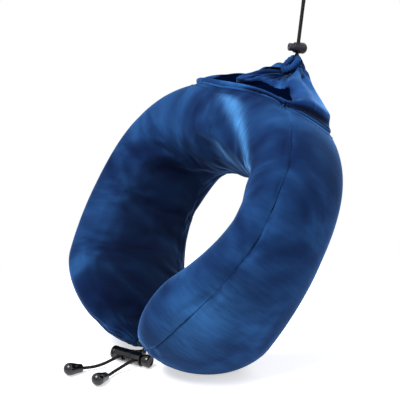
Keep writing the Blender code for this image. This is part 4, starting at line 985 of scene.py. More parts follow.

# %% Find the grooves and the pocket, where shade is painted
BAG_RADIUS = 0.05     # a mean radius, for places round the bag
# painted shade: the gaps between the gathers are marked for darkening
groove_shade = reach * calm * ease((0.12 - fold_back) / 0.55)
# painted shade: the pocket behind the lip is marked by its place on the bag, with a ragged edge
pocket_front = np.where(to_right > 0.0, dip[:, 0], ease((to_front + 0.10) / 0.25))
pocket_top = 2.40 - 0.35 * fan_drop[:, 0] - 0.32 * hump(theta, 150.0, 32.0)
pocket_shade = pocket_front * ease((steps[:, None] - 1.20) / 0.30)
pocket_shade = pocket_shade * (1.0 - ease((steps[:, None] - pocket_top) / 0.55))
ragged_edge = 0.10 * np.sin(7.0 * theta + 1.0)[None, :] * pocket_front
pocket_shade_faces = ((pocket_shade + ragged_edge) > 0.62)[:-1].ravel()
path_steps = np.linalg.norm(np.diff(shape, axis=0), axis=-1)
along_path = np.concatenate([np.zeros((1, AROUND)), np.cumsum(path_steps, 0)])
round_path = BAG_RADIUS * theta[None, :] + 0.0 * along_path
carry(bag, "nap_place", "FLOAT_VECTOR", np.stack([round_path, along_path, 0.0 * along_path], -1))
print("pocket faces", int(pocket_shade_faces.sum()))


# %% Finish the bag
def soften(obj):
    """Rounds a mesh once more with a subdivision surface."""
    smooth = obj.modifiers.new("smooth", "SUBSURF")
    smooth.levels = smooth.render_levels = 1


thick = bag.modifiers.new("cloth_thickness", "SOLIDIFY")
thick.thickness, thick.offset = BAG_CLOTH, -1.0
soften(bag)
# the same velour, unfilled, in a copy a shade paler than the cover's: painted light that brightens the bag
bag_velour = velour("navy_bag_velour", "081C47", "173C74", "336AAA", sheen=1.0)
# painted shade: deep in the pocket the same cloth gets a near-black copy with no sheen
shaded_pocket_velour = velour("painted_shade_velour_in_pocket", "01030A", "030713", "060F1F", sheen=0.0)
wear(bag, bag_velour)
bag.data.materials.append(shaded_pocket_velour)
for face, deep_inside in zip(bag.data.polygons, pocket_shade_faces):
    face.material_index = int(deep_inside)
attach(bag, "pillow")
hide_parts("bag_body")
print("bag", len(bag.data.polygons), "faces")

# %% [markdown]
# ## The bag's seam
# The bag's raw edge is turned under and sewn to the nape, which leaves a narrow roll of cloth along the seam.
# A row of topstitching runs beside it on the cover, 7 mm away, with a stitch every 3 mm. The roll is a thin
# tube on the seam, and each stitch is a small bead of thread that sinks a little into the pile.

# %% Seam roll
ROLL, ROLL_SIDES = 0.0023, 10


def evened(line, times):
    """A closed line with each point drawn a little to its neighbours."""
    for time in range(times):
        line = (np.roll(line, 1, 0) + 2.0 * line + np.roll(line, -1, 0)) / 4.0
    return line


seam_line = lifted(framed(foot)[None], cover_tree, [0.0007])[0]
seam_line = evened(seam_line, 4)
cut = int(np.argmin(foot[:, 2]))
seam_line = np.roll(seam_line, -cut, 0)
seam_loop = np.concatenate([seam_line, seam_line[:1]])
seam_roll = cord_tube("bag_seam_roll", seam_loop, ROLL, bag_velour, sides=ROLL_SIDES)
# painted shade: the whole seam roll gets a little shade in its colour
carry(seam_roll, "shade_painted", "FLOAT", np.full(len(seam_roll.data.vertices), 0.30))
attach(seam_roll, "pillow")
print("seam roll", ROLL / MM, "mm thick")

# %% Row of topstitching
STITCH_ROW, STITCH_LONG, STITCH_STEP, THREAD = 0.0070, 0.0021, 0.0030, 0.0003
middle_foot = framed(off_skin(0.0 * theta, 0.0 * theta + centre, 0.0 * theta))
stitch_path = []
for p, inward in zip(framed(foot), middle_foot - framed(foot)):
    normal = cover_tree.find_nearest(Vector(p))[1]
    aside = Vector(inward) - normal * Vector(inward).dot(normal)
    spot, normal = cover_tree.find_nearest(Vector(p) - aside.normalized() * STITCH_ROW)[:2]
    stitch_path.append(tuple(spot + normal * 0.0002))
stitch_path = evened(np.array(stitch_path), 6)
path_steps = np.linalg.norm(np.roll(stitch_path, -1, 0) - stitch_path, axis=1)
travelled = np.concatenate([[0.0], np.cumsum(path_steps)])
loop_path = np.concatenate([stitch_path, stitch_path[:1]])
stitches = bmesh.new()
for at in np.arange(0.0, travelled[-1] - STITCH_STEP, STITCH_STEP):
    first, last = [Vector([np.interp(d, travelled, loop_path[:, k]) for k in range(3)])
                   for d in (at, at + STITCH_LONG)]
    spin = (last - first).normalized().to_track_quat("Z", "Y").to_matrix().to_4x4()
    stretch = Matrix.Diagonal((THREAD, THREAD, STITCH_LONG / 2.0, 1.0))
    bmesh.ops.create_uvsphere(stitches, u_segments=8, v_segments=6, radius=1.0,
                              matrix=Matrix.Translation((first + last) / 2.0) @ spin @ stretch)
topstitch = finished("nape_topstitch", stitches)
topstitch.data.shade_smooth()
print("topstitch", len(topstitch.data.polygons) // 48, "stitches")

# %% Sewing thread
PLY_MM = 0.6     # two plies twist round each other every 0.6 mm
# spun polyester thread in the cover's own navy: matt, and just paler than the pile that it sinks into
thread_look, tree, shader = new_material("polyester_sewing_thread")
spot = add(tree, "ShaderNodeTexCoord").outputs["Object"]
ply = add(tree, "ShaderNodeTexNoise", {"Vector": spot}, Scale=per_metre(PLY_MM), Detail=2.0)
tone = add(tree, "ShaderNodeMix", {0: ply.outputs["Fac"]}, data_type="RGBA")
tone.inputs[6].default_value, tone.inputs[7].default_value = hex_colour("0B2450"), hex_colour("173B73")
tree.links.new(tone.outputs[2], shader.inputs["Base Color"])
twist = add(tree, "ShaderNodeBump", {"Height": ply.outputs["Fac"]}, Strength=0.4, Distance=0.0001)
tree.links.new(twist.outputs[0], shader.inputs["Normal"])
shader.inputs["Roughness"].default_value = 0.8
shader.inputs["Specular IOR Level"].default_value = 0.1
wear(topstitch, thread_look)
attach(topstitch, "pillow")
print("thread", thread_look.name)

# %% [markdown]
# ## The hem round the mouth
# The bag's edge is folded over the cord and sewn down, so a sleeve runs round the mouth. When the cord is
# drawn, the sleeve crumples into ruffles. It is a tube round the mouth's ring whose width swells and
# pinches, with each ruffle leaning a little, and its two ends open where the cord comes out.

# %% Ruffled hem
HEM_OPEN_DEG, HEM_BORE, HEM_STEPS, HEM_SIDES, RUFFLES = 24.0, 0.0019, 260, 28, 20


def ring_at(turn):
    """Points on the mouth's ring, which is longer front to back than across."""
    long_part = MOUTH_WAY * (MOUTH_LONG * np.cos(turn))[..., None]
    return MOUTH + long_part + ACROSS * (MOUTH_SHORT * np.sin(turn))[..., None]


turn = np.radians(np.linspace(HEM_OPEN_DEG, 360.0 - HEM_OPEN_DEG, HEM_STEPS))[:, None]
around = np.linspace(0.0, 2.0 * math.pi, HEM_SIDES, endpoint=False)[None, :]
ring_way = ring_at(turn + 0.01) - ring_at(turn - 0.01)
ring_way /= np.linalg.norm(ring_way, axis=-1, keepdims=True)
ring_out = np.cross(ring_way, MOUTH_FACE)
ruffle_phase = RUFFLES * (turn + 0.12 * np.sin(3.0 * turn + 0.4)) / 2.0 + 0.85 * np.sin(around + 0.8)
ruffle = (np.abs(np.sin(ruffle_phase)) ** 0.7 - 0.55) * (0.8 + 0.2 * np.sin(5.0 * turn + 1.0))
puff = hump(turn, 180.0, 55.0)
sleeve = HEM_OUTER * (1.0 + 0.26 * ruffle + 0.15 * puff) - 0.0002 * ease(np.cos(around) * -1.0)
outside = (ring_at(turn) + ring_out * (sleeve * np.cos(around))[..., None]
           + MOUTH_FACE * (sleeve * np.sin(around) * 1.05)[..., None])
inside = (ring_at(turn) + ring_out * (HEM_BORE * np.cos(around))[..., None]
          + MOUTH_FACE * (HEM_BORE * np.sin(around))[..., None])
first_lip, last_lip = inside[:1] * 0.5 + outside[:1] * 0.5, inside[-1:] * 0.5 + outside[-1:] * 0.5
hem_rows = [inside[3:-3][::-1], first_lip, outside, last_lip, inside[-4:-3]]
hem = grid_mesh("gathered_hem", framed(np.concatenate(hem_rows)), turned=True)
soften(hem)
wear(hem, bag_velour)
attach(hem, "pillow")
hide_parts("bag_hem")
print("hem", HEM_STEPS, "steps with", RUFFLES, "ruffles")

# %% [markdown]
# ## Placings of the locks
# Each lock and bell has its own placing: X along its barrel, towards the button, and Z along the cord or
# away from it. They are worked out from the same few sizes as the solids, so a smooth piece turned round a
# placing falls exactly on the plain solid that it stands for.

# %% Placings
def placing(x, z, at):
    x = np.asarray(x, float) / np.linalg.norm(x)
    z = np.asarray(z, float) - x * np.dot(x, z)
    z /= np.linalg.norm(z)
    turn = Matrix((x, np.cross(z, x), z)).transposed().to_4x4()
    return Matrix.Translation(Vector(at)) @ turn


def put(frame_matrix, points):
    turn, at = np.array(frame_matrix.to_3x3()), np.array(frame_matrix.translation)
    return np.asarray(points, float) @ turn.T + at


BAG_CORD, STRAND_SPACE, FRONT_CORD = 0.0025, 0.0029, 0.0030
LOCK_TURN, TOP_SLIDE, LOOP_EYE = math.radians(67.0), 0.020, 0.0040
TOP_LOCK_AT = MOUTH_TOP + CORD_WAY * LOCK_RISE
button_way = np.array((-math.cos(LOCK_TURN), -math.sin(LOCK_TURN), 0.0))
button_way -= CORD_WAY * np.dot(button_way, CORD_WAY)
button_way /= np.linalg.norm(button_way)
TOP_LOCK = placing(button_way, CORD_WAY, TOP_LOCK_AT - LOOP_AT)
strand_way = np.cross(button_way, CORD_WAY)
LOCK_AT, LOCK_AXIS, HOLE_SPACE = (-0.0129, -0.0780), math.radians(17.5), 0.0173
FRONT_BARREL, RIM, FLOOR_PLAY, FRONT_SLIDE = 0.0124, 0.0005, 0.0003, 0.008
lock_way = np.array((math.cos(LOCK_AXIS), math.sin(LOCK_AXIS), 0.0))
out_way = np.array((lock_way[1], -lock_way[0], 0.0))
FRONT_LOCK_AT = np.array((LOCK_AT[0], LOCK_AT[1], FLOOR + FRONT_BARREL / 2.0 + RIM + FLOOR_PLAY))
FRONT_LOCK = placing(lock_way, out_way, FRONT_LOCK_AT - LOOP_AT)
BELL, BELL_MOUTH, BELL_LENGTH, BELL_LIP, KNOT = 0.0118, 0.0078, 0.0178, 0.0009, 0.0068


def bell_placing(at, deg):
    flat = np.array((math.cos(math.radians(deg)), math.sin(math.radians(deg)), 0.0))
    rise = (BELL - BELL_MOUTH) / 2.0 / (BELL_LENGTH - BELL / 2.0)
    centre_at = np.array((at[0], at[1], FLOOR + BELL / 2.0 + FLOOR_PLAY))
    return placing(flat + np.array((0.0, 0.0, rise)), (0.0, 0.0, 1.0), centre_at - LOOP_AT)


LEFT_BELL, RIGHT_BELL = bell_placing((-0.0261, -0.1345), 262.0), bell_placing((0.0085, -0.1262), 290.0)
print("front lock at", np.round(np.array(FRONT_LOCK.translation) / MM, 1), "mm")

# %% [markdown]
# ## The bag's cord
# One cord runs in the hem all the way round the mouth. Its two strands leave through the opening, pass
# through the lock side by side and meet in the top bend, which is where the pillow hangs. The photograph
# shows it up to its edge; the bend above that is the guess that the solids hold.

# %% Bag cord
sign = -1.0 if strand_way[0] < 0.0 else 1.0
half = sign * STRAND_SPACE / 2.0
lock_at = TOP_LOCK_AT - LOOP_AT
eye = LOOP_EYE + BAG_CORD / 2.0
ring = [framed(ring_at(np.radians(np.array(deg)))) for deg in (180.0, 150.0, 120.0, 90.0, 60.0, 36.0)]
strand = [MOUTH_TOP - LOOP_AT + CORD_WAY * 0.0010 + ACROSS * 0.0022]
for rise, aside in ((-0.0060, half), (0.0, half), (TOP_SLIDE / 2.0, half), (TOP_SLIDE + 0.0062, half)):
    strand.append(lock_at + CORD_WAY * rise + strand_way * aside)
for drop, aside in ((0.0330, half * 1.05), (0.0200, half * 1.9), (0.0100, sign * eye * 0.90),
                    (LOOP_EYE * 0.8, sign * eye)):
    strand.append(-CORD_WAY * drop + strand_way * aside)
one_side = [np.asarray(p) for p in ring + strand]
other_side = [p * np.array((-1.0, 1.0, 1.0)) for p in one_side[:len(ring) + 1]]     # mirrored
other_side += [p - strand_way * (2.0 * np.dot(p, strand_way)) for p in one_side[len(ring) + 1:]]
bend = []
for deg in (30.0, 60.0, 90.0, 120.0, 150.0):
    aside, rise = sign * eye * math.cos(math.radians(deg)), eye * math.sin(math.radians(deg))
    bend.append(-CORD_WAY * LOOP_EYE + strand_way * aside + CORD_WAY * rise)
bag_route, bag_length = smooth_line(one_side + bend + other_side[:0:-1], 0.0011, closed=True)
bag_string = cord_tube("bag_drawcord", bag_route, BAG_CORD, cord_braid)
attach(bag_string, "pillow")
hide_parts("bag_cord")
print("bag cord", round(bag_length / MM, 1), "mm")

# %% [markdown]
# ## The front cords
# Each comes out of its arm's pinched tip, runs over the floor into its own hole of the lock, and ends in a
# bell. A stopper knot inside the bell holds it. The left one is longer and loops under the right one.

# %% Front cords
CORD_SEAT = 0.0060


def front_cord(name, side_sign, hole_sign, between_points, beyond_points, bell_at):
    tip = leaned(bare(side_sign * HALF_RUN * 0.99999, 0.0, 0.0))
    inward = leaned(bare(side_sign * (HALF_RUN - 0.008), 0.0, 0.0)) - tip
    start_at = tip + inward / np.linalg.norm(inward) * CORD_SEAT
    hole_at = FRONT_LOCK_AT + lock_way * (hole_sign * HOLE_SPACE / 2.0)
    lift = np.array((0.0, 0.0, FLOOR))
    room = FRONT_BARREL / 2.0 + 0.0010
    points = [start_at, (start_at + tip) / 2.0, tip] + [np.array(p) + lift for p in between_points]
    through = (-(room + 0.0008), -room * 0.75, 0.0, room + FRONT_SLIDE * 0.5, room + FRONT_SLIDE)
    points += [hole_at + out_way * d for d in through]
    points += [np.array(p) + lift for p in beyond_points]
    mouth_at = put(bell_at, (-(BELL_LENGTH - BELL / 2.0) - 0.0030, 0.0, 0.0))
    end_at = put(bell_at, (-KNOT / 2.0 - 0.0003, 0.0, 0.0))
    inside_bell = [mouth_at, (mouth_at + end_at) / 2.0, end_at]
    line, length = smooth_line([p - LOOP_AT for p in points] + inside_bell, 0.0013)
    made = cord_tube(name, line, FRONT_CORD, cord_braid)
    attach(made, "pillow")
    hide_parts(name.replace("_braid", ""))
    print(name, round(length / MM, 1), "mm")
    return made, line, length


left_string, left_route, left_length = front_cord(
    "front_cord_left_braid", -1, -1,
    [(-0.0055, -0.0668, 0.0190), (-0.0030, -0.0605, 0.0165), (-0.0085, -0.0585, 0.0112),
     (-0.0162, -0.0640, 0.0066), (-0.0223, -0.0695, 0.0064)],
    [(-0.0195, -0.1030, 0.0042), (-0.0212, -0.1110, 0.0034)], LEFT_BELL)
right_string, right_route, right_length = front_cord(
    "front_cord_right_braid", 1, 1,
    [(0.0055, -0.0690, 0.0192), (0.0005, -0.0692, 0.0175), (-0.0042, -0.0672, 0.0135),
     (-0.0068, -0.0652, 0.0088)],
    [(-0.0010, -0.1010, 0.0036)], RIGHT_BELL)

# %% [markdown]
# ## Moulded plastic
# The locks and bells are injection-moulded acetal and ABS. A polished mould gives the front lock and the
# bells a wet black gloss, and a spark-eroded mould gives the bag's lock a satin, slightly violet grey. Both
# carry faint scuffs. A noise for the mould's texture and one for the scuffs move the roughness a little.

# %% Plastic material
SCUFF_MM, GRAIN_MM, PLASTIC_IOR = 3.0, 0.4, 1.48


def moulded(name, colour, worn, gloss, scuffed, relief, shine=0.5):
    made, tree, shader = new_material(name)
    spot = add(tree, "ShaderNodeTexCoord").outputs["Object"]
    scuffs = add(tree, "ShaderNodeTexNoise", {"Vector": spot},
                 Scale=per_metre(SCUFF_MM), Detail=5.0, Roughness=0.65)
    grain = add(tree, "ShaderNodeTexNoise", {"Vector": spot}, Scale=per_metre(GRAIN_MM), Detail=1.0)
    tone = add(tree, "ShaderNodeMix", {0: scuffs.outputs["Fac"]}, data_type="RGBA")
    tone.inputs[6].default_value, tone.inputs[7].default_value = hex_colour(colour), hex_colour(worn)
    tree.links.new(tone.outputs[2], shader.inputs["Base Color"])
    rough = add(tree, "ShaderNodeMapRange", {0: scuffs.outputs["Fac"]})
    rough.inputs["From Min"].default_value, rough.inputs["From Max"].default_value = 0.35, 0.7
    rough.inputs["To Min"].default_value, rough.inputs["To Max"].default_value = gloss, scuffed
    tree.links.new(rough.outputs[0], shader.inputs["Roughness"])
    skin = add(tree, "ShaderNodeBump", {"Height": grain.outputs["Fac"]}, Strength=relief, Distance=0.0001)
    tree.links.new(skin.outputs[0], shader.inputs["Normal"])
    shader.inputs["IOR"].default_value = PLASTIC_IOR
    shader.inputs["Specular IOR Level"].default_value = shine
    return made


# ABS from a polished mould: black with small sharp highlights
glossy_black = moulded("polished_black_abs", "030304", "08080A", 0.10, 0.24, 0.05)
# acetal from a spark-eroded mould: dark grey with broad soft highlights
satin_grey = moulded("satin_grey_acetal", "110F17", "1B1922", 0.28, 0.42, 0.25, shine=0.28)
# the same acetal on the button, which fingers have rubbed a little paler
button_grey = moulded("rubbed_button_acetal", "1D1B25", "2C2A36", 0.28, 0.42, 0.25, shine=0.35)
print("plastics", glossy_black.name, satin_grey.name, button_grey.name)

# %% [markdown]
# ### Turned and drilled pieces
# Barrels, buttons and bells are round, so each is a profile turned round its own axis, as on a lathe. The
# profile lists how far along and how thick, with extra points where a moulded edge is rounded. Cord holes
# are then cut across with a boolean and kept in the mesh, which is quicker and cleaner than shaping them.


# %% Turned pieces
CRISP_DEG = 38.0


def turned(name, profile, frame_matrix, sides=72, loop=False):
    """A piece turned round X of a placing from (x, radius) pairs, with crisp edges kept crisp."""
    angles = np.linspace(0.0, 2.0 * math.pi, sides, endpoint=False)
    body = bmesh.new()
    rows = []
    for x, radius in profile:
        if radius < 1e-7:
            rows.append([body.verts.new(put(frame_matrix, (x, 0.0, 0.0)))] * sides)
        else:
            ring_points = np.stack([0.0 * angles + x, radius * np.cos(angles), radius * np.sin(angles)], -1)
            rows.append([body.verts.new(p) for p in put(frame_matrix, ring_points)])
    for a, b in zip(rows, rows[1:] + (rows[:1] if loop else [])):
        for k in range(sides):
            corners = [a[k], b[k], b[(k + 1) % sides], a[(k + 1) % sides]]
            distinct = [v for i, v in enumerate(corners) if v not in corners[:i]]
            if len(distinct) > 2:
                body.faces.new(distinct)
    bmesh.ops.recalc_face_normals(body, faces=body.faces)
    made = finished(name, body)
    made.data.shade_smooth()
    made.data.set_sharp_from_angle(angle=math.radians(CRISP_DEG))
    return made


print("edges sharper than", CRISP_DEG, "degrees stay crisp")


# %% Drilled holes
def drilled(obj, frame_matrix, x_range, y_range, z_range, corner):
    """Cuts an upright round-cornered hole through a piece and keeps the result in its mesh."""
    left, right_side = x_range[0] + corner, x_range[1] - corner
    low, high = y_range[0] + corner, y_range[1] - corner
    outline = []
    for quarter, (cx, cy) in enumerate(((right_side, high), (left, high), (left, low), (right_side, low))):
        for turn in np.radians(np.linspace(0.0, 90.0, 9)) + quarter * math.pi / 2.0:
            outline.append((cx + corner * math.cos(turn), cy + corner * math.sin(turn)))
    drill = bmesh.new()
    rings = [[drill.verts.new(put(frame_matrix, (x, y, z))) for x, y in outline] for z in z_range]
    count = len(outline)
    for k in range(count):
        drill.faces.new([rings[0][k], rings[0][(k + 1) % count], rings[1][(k + 1) % count], rings[1][k]])
    drill.faces.new(rings[0])
    drill.faces.new(rings[1])
    bmesh.ops.recalc_face_normals(drill, faces=drill.faces)
    tool = finished("drill", drill)
    cut = obj.modifiers.new("hole", "BOOLEAN")
    cut.operation, cut.solver, cut.object = "DIFFERENCE", "EXACT", tool
    result = bpy.data.meshes.new_from_object(obj.evaluated_get(bpy.context.evaluated_depsgraph_get()))
    obj.modifiers.remove(cut)
    obj.data = result
    result.set_sharp_from_angle(angle=math.radians(CRISP_DEG))
    bpy.data.objects.remove(tool, do_unlink=True)


def stands_for(obj, body, node, material):
    """Gives a piece its material and its body, in place of a solid node."""
    wear(obj, material)
    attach(obj, body)
    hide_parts(node)


THROUGH = (-0.02, 0.02)     # past both sides of any barrel
print("holes run", (THROUGH[1] - THROUGH[0]) / MM, "mm")

# %% [markdown]
# ## The bag's lock
# A barrel with a round back holds a plunger and a spring. The cord passes across both, and the spring
# pulls the plunger's hole out of line, which pinches the cord. The button's end is dished for a fingertip.

# %% Bag lock's barrel
TOP_BARREL, TOP_WALL, TOP_BACK, TOP_FRONT, TOP_BUTTON_OUT = 0.0108, 0.0013, 0.0094, 0.0042, 0.0052
RUN, HOLE_PLAY, PRESS_TRAVEL = 0.0003, 0.0002, 0.0025
top_r, top_bore = TOP_BARREL / 2.0, TOP_BARREL / 2.0 - TOP_WALL
top_hole_x = BAG_CORD / 2.0 + RUN + HOLE_PLAY
top_hole_y = STRAND_SPACE / 2.0 + BAG_CORD / 2.0 + RUN + HOLE_PLAY
top_inner, top_bore_end = -(BAG_CORD / 2.0 + RUN + 0.0011), -(TOP_BACK - 0.0016)
barrel_profile = [(-TOP_BACK, 0.0)]
for turn in np.radians(range(8, 91, 8)):
    barrel_profile.append((-TOP_BACK + top_r * 0.85 * (1.0 - math.cos(turn)), top_r * math.sin(turn)))
barrel_profile += [(TOP_FRONT - 0.0030, top_r), (TOP_FRONT - 0.0018, top_r - 0.0004),
                   (TOP_FRONT - 0.0006, top_r - 0.0004), (TOP_FRONT - 0.0002, top_r - 0.0006),
                   (TOP_FRONT, top_bore + 0.0003), (TOP_FRONT, top_bore),
                   (top_bore_end, top_bore), (top_bore_end, 0.0)]
top_barrel = turned("bag_lock_barrel_smooth", barrel_profile, TOP_LOCK)
drilled(top_barrel, TOP_LOCK, (-top_hole_x, top_hole_x), (-top_hole_y, top_hole_y), THROUGH,
        top_hole_x * 0.98)
stands_for(top_barrel, "bag_lock", "bag_lock_barrel", satin_grey)
print("bag lock's barrel", len(top_barrel.data.polygons), "faces")

# %% Bag lock's button
button_r, button_end = top_bore - RUN, TOP_FRONT + TOP_BUTTON_OUT
plunger_profile = [(top_inner, 0.0), (top_inner, button_r - 0.0004), (top_inner + 0.0004, button_r),
                   (button_end - 0.0005, button_r), (button_end - 0.0002, button_r - 0.0002),
                   (button_end, button_r - 0.0006), (button_end, button_r - 0.0012),
                   (button_end - 0.0003, button_r - 0.0014), (button_end - 0.0008, button_r - 0.0019),
                   (button_end - 0.0009, 0.0)]
top_plunger = turned("bag_lock_button_smooth", plunger_profile, TOP_LOCK)
drilled(top_plunger, TOP_LOCK, (-top_hole_x, top_hole_x + PRESS_TRAVEL), (-top_hole_y, top_hole_y), THROUGH,
        top_hole_x * 0.9)
stands_for(top_plunger, "bag_button", "bag_lock_plunger", button_grey)
print("bag lock's button", len(top_plunger.data.polygons), "faces")

# %% [markdown]
# ## The front lock and the bells
# The front lock is a longer barrel with a flanged end, a groove, a raised ring and two holes, one for each
# cord. Each bell is a hollow drop that hides the cord's knot. All of them are glossy black.

# %% Front lock's barrel
FRONT_WALL, FRONT_BACK, FRONT_END = 0.0013, 0.0189, 0.0156
WINDOW_X, WINDOW_HALF, WINDOW_DEEP, WINDOW_CORNER = (-0.0050, -0.0006), 0.0021, 0.0021, 0.0014
front_r, front_bore = FRONT_BARREL / 2.0, FRONT_BARREL / 2.0 - FRONT_WALL
hole_r = FRONT_CORD / 2.0 + 0.0004
front_inner, front_bore_end = -(HOLE_SPACE / 2.0 + hole_r + 0.0012), -(FRONT_BACK - 0.0020)
flange = [(0.0, -front_r), (0.0, -0.0014), (0.0002, -0.0007), (0.0006, -0.0002), (0.0011, RIM * 0.4),
          (0.0027, RIM * 0.4), (0.0031, -0.0005), (0.0034, -0.0007), (0.0043, -0.0007), (0.0047, -0.0004),
          (0.0051, 0.0)]
raised_ring = [(0.0030, 0.0), (0.0034, RIM), (0.0044, RIM), (0.0048, 0.0)]
mouth_rim = [(-0.0016, 0.0), (-0.0012, RIM * 0.6), (-0.0003, RIM * 0.6), (0.0, 0.0)]
front_profile = [(-FRONT_BACK + along_it, front_r + above) for along_it, above in flange]
front_profile += [(along_it, front_r + above) for along_it, above in raised_ring]
front_profile += [(FRONT_END + along_it, front_r + above) for along_it, above in mouth_rim]
front_profile += [(FRONT_END, front_bore), (front_bore_end, front_bore), (front_bore_end, 0.0)]
front_barrel = turned("front_lock_barrel_smooth", front_profile, FRONT_LOCK)
for hole_sign in (-1.0, 1.0):
    x = hole_sign * HOLE_SPACE / 2.0
    drilled(front_barrel, FRONT_LOCK, (x - hole_r, x + hole_r), (-hole_r, hole_r), THROUGH, hole_r * 0.98)
drilled(front_barrel, FRONT_LOCK, WINDOW_X, (-WINDOW_HALF, WINDOW_HALF), (front_r - WINDOW_DEEP, THROUGH[1]),
        WINDOW_CORNER)
stands_for(front_barrel, "front_lock", "front_lock_barrel", glossy_black)
print("front lock's barrel", len(front_barrel.data.polygons), "faces")

# %% Front lock's button
FRONT_BUTTON_OUT, FRONT_HEAD, HEAD_LENGTH = 0.0090, 0.0118, 0.0058
plunger_r, head_end, head_r = front_bore - RUN, FRONT_END + FRONT_BUTTON_OUT, FRONT_HEAD / 2.0
head_start = head_end - HEAD_LENGTH
front_plunger_profile = [(front_inner, 0.0), (front_inner, plunger_r - 0.0005),
                         (front_inner + 0.0005, plunger_r), (head_start, plunger_r),
                         (head_start + 0.0001, head_r - 0.0005),
                         (head_start + 0.0005, head_r), (head_end - 0.0010, head_r),
                         (head_end - 0.0005, head_r - 0.0002), (head_end - 0.0002, head_r - 0.0006),
                         (head_end, head_r - 0.0014), (head_end, head_r - 0.0022),
                         (head_end - 0.0002, head_r - 0.0026), (head_end - 0.0006, head_r - 0.0030),
                         (head_end - 0.0007, 0.0)]
front_plunger = turned("front_lock_button_smooth", front_plunger_profile, FRONT_LOCK)
for hole_sign in (-1.0, 1.0):
    x = hole_sign * HOLE_SPACE / 2.0
    drilled(front_plunger, FRONT_LOCK, (x - hole_r, x + hole_r + PRESS_TRAVEL), (-hole_r, hole_r), THROUGH,
            hole_r * 0.9)
stands_for(front_plunger, "front_button", "front_lock_plunger", glossy_black)
print("front lock's button", len(front_plunger.data.polygons), "faces")

# %% Bells
bell_back, bell_mouth, ball = BELL_LENGTH - BELL / 2.0, BELL_MOUTH / 2.0, BELL / 2.0
cord_bore, knot_bore = FRONT_CORD / 2.0 + RUN + 0.0001, KNOT / 2.0 + RUN + 0.0002
bell_profile = [(-bell_back, cord_bore), (-bell_back, bell_mouth - 0.0005),
                (-bell_back + 0.0001, bell_mouth - 0.0002), (-bell_back + 0.0004, bell_mouth),
                (-bell_back + BELL_LIP, bell_mouth + 0.0001), (-0.0070, bell_mouth + 0.0007),
                (-0.0046, ball * 0.87), (-0.0026, ball * 0.955)]
bell_profile += [(ball * math.cos(turn), ball * math.sin(turn)) for turn in np.radians(range(104, 7, -8))]
bell_profile += [(ball, 0.0), (knot_bore, 0.0)]
knot_turns = np.radians(range(14, 113, 14))
bell_profile += [(knot_bore * math.cos(turn), knot_bore * math.sin(turn)) for turn in knot_turns]
bell_profile += [(-KNOT / 2.0 - 0.0004, cord_bore + 0.0002), (-KNOT / 2.0 - 0.0008, cord_bore)]
bells = {}
for tag, bell_at in (("left", LEFT_BELL), ("right", RIGHT_BELL)):
    bells[tag] = turned("front_bell_" + tag + "_smooth", bell_profile, bell_at, sides=64, loop=True)
    stands_for(bells[tag], "pillow", "front_bell_" + tag, glossy_black)
print("bells", [len(made.data.polygons) for made in bells.values()], "faces")

# %% [markdown]
# ## Zip, springs and knots
# The zip's tapes are woven polyester, its teeth a coil of nylon, and its slider and pull a painted zinc
# casting. They are small and sharp-edged already in the solids, so these nodes keep their solid shape and
# only get a finish. So do the knots, which the bells hide. Weave is two crossing waves of threads, and worn
# paint or drawn wire is one fine noise that moves the colour and the roughness together.


# %% Woven tape and worn metal
WAVE_TURNS = 20.0     # a wave texture of scale 1 turns through 20 radians in a metre


def fine_weave(name, colour, thread, thread_mm):
    """Woven tape: two crossing waves of threads."""
    made, tree, shader = new_material(name)
    spot = add(tree, "ShaderNodeTexCoord").outputs["Object"]
    waves = 2.0 * math.pi * per_metre(thread_mm) / WAVE_TURNS
    ribs = [add(tree, "ShaderNodeTexWave", {"Vector": spot}, Scale=waves, wave_type="BANDS",
                bands_direction=way).outputs["Fac"] for way in ("X", "Y")]
    cloth = add(tree, "ShaderNodeMath", {0: ribs[0], 1: ribs[1]}, operation="MULTIPLY")
    tone = add(tree, "ShaderNodeMix", {0: cloth.outputs[0]}, data_type="RGBA")
    tone.inputs[6].default_value, tone.inputs[7].default_value = hex_colour(colour), hex_colour(thread)
    tree.links.new(tone.outputs[2], shader.inputs["Base Color"])
    relief = add(tree, "ShaderNodeBump", {"Height": cloth.outputs[0]}, Strength=0.6, Distance=0.0002)
    tree.links.new(relief.outputs[0], shader.inputs["Normal"])
    shader.inputs["Roughness"].default_value = 0.85
    return made


def metal(name, colour, worn, metallic, smoothest, roughest, grit_mm):
    """Bare or painted metal: grit_mm is the size of the marks that its making and its wear leave."""
    made, tree, shader = new_material(name)
    spot = add(tree, "ShaderNodeTexCoord").outputs["Object"]
    grit = add(tree, "ShaderNodeTexNoise", {"Vector": spot}, Scale=per_metre(grit_mm), Detail=4.0)
    tone = add(tree, "ShaderNodeMix", {0: grit.outputs["Fac"]}, data_type="RGBA")
    tone.inputs[6].default_value, tone.inputs[7].default_value = hex_colour(colour), hex_colour(worn)
    tree.links.new(tone.outputs[2], shader.inputs["Base Color"])
    rough = add(tree, "ShaderNodeMapRange", {0: grit.outputs["Fac"]})
    rough.inputs["To Min"].default_value, rough.inputs["To Max"].default_value = smoothest, roughest
    tree.links.new(rough.outputs[0], shader.inputs["Roughness"])
    shader.inputs["Metallic"].default_value = metallic
    return made


print("two finishes: fine_weave and metal")

# %% Finish the nodes that keep their solid shape
# steel wire pulled through a die: bright grey, with highlights drawn out along the wire
spring_wire = metal("drawn_spring_steel", "9C9EA2", "C8CACD", 1.0, 0.18, 0.36, 0.5)
# zinc cast in a mould and painted: nearly black, with a soft half-metallic shine and faint wear
slider_paint = metal("painted_zinc_casting", "15161B", "24262C", 0.6, 0.28, 0.45, 1.2)
# woven polyester tape: matt navy. Its threads are 0.35 mm apart and are drawn at 4.4 mm so that they show
zip_tape = fine_weave("woven_navy_tape", "0C1F40", "1C3A6C", 4.398)
# nylon wire formed hot into a coil: smooth navy with a dull shine
zip_coil = moulded("formed_nylon_coil", "101D36", "1B2E50", 0.35, 0.5, 0.3)
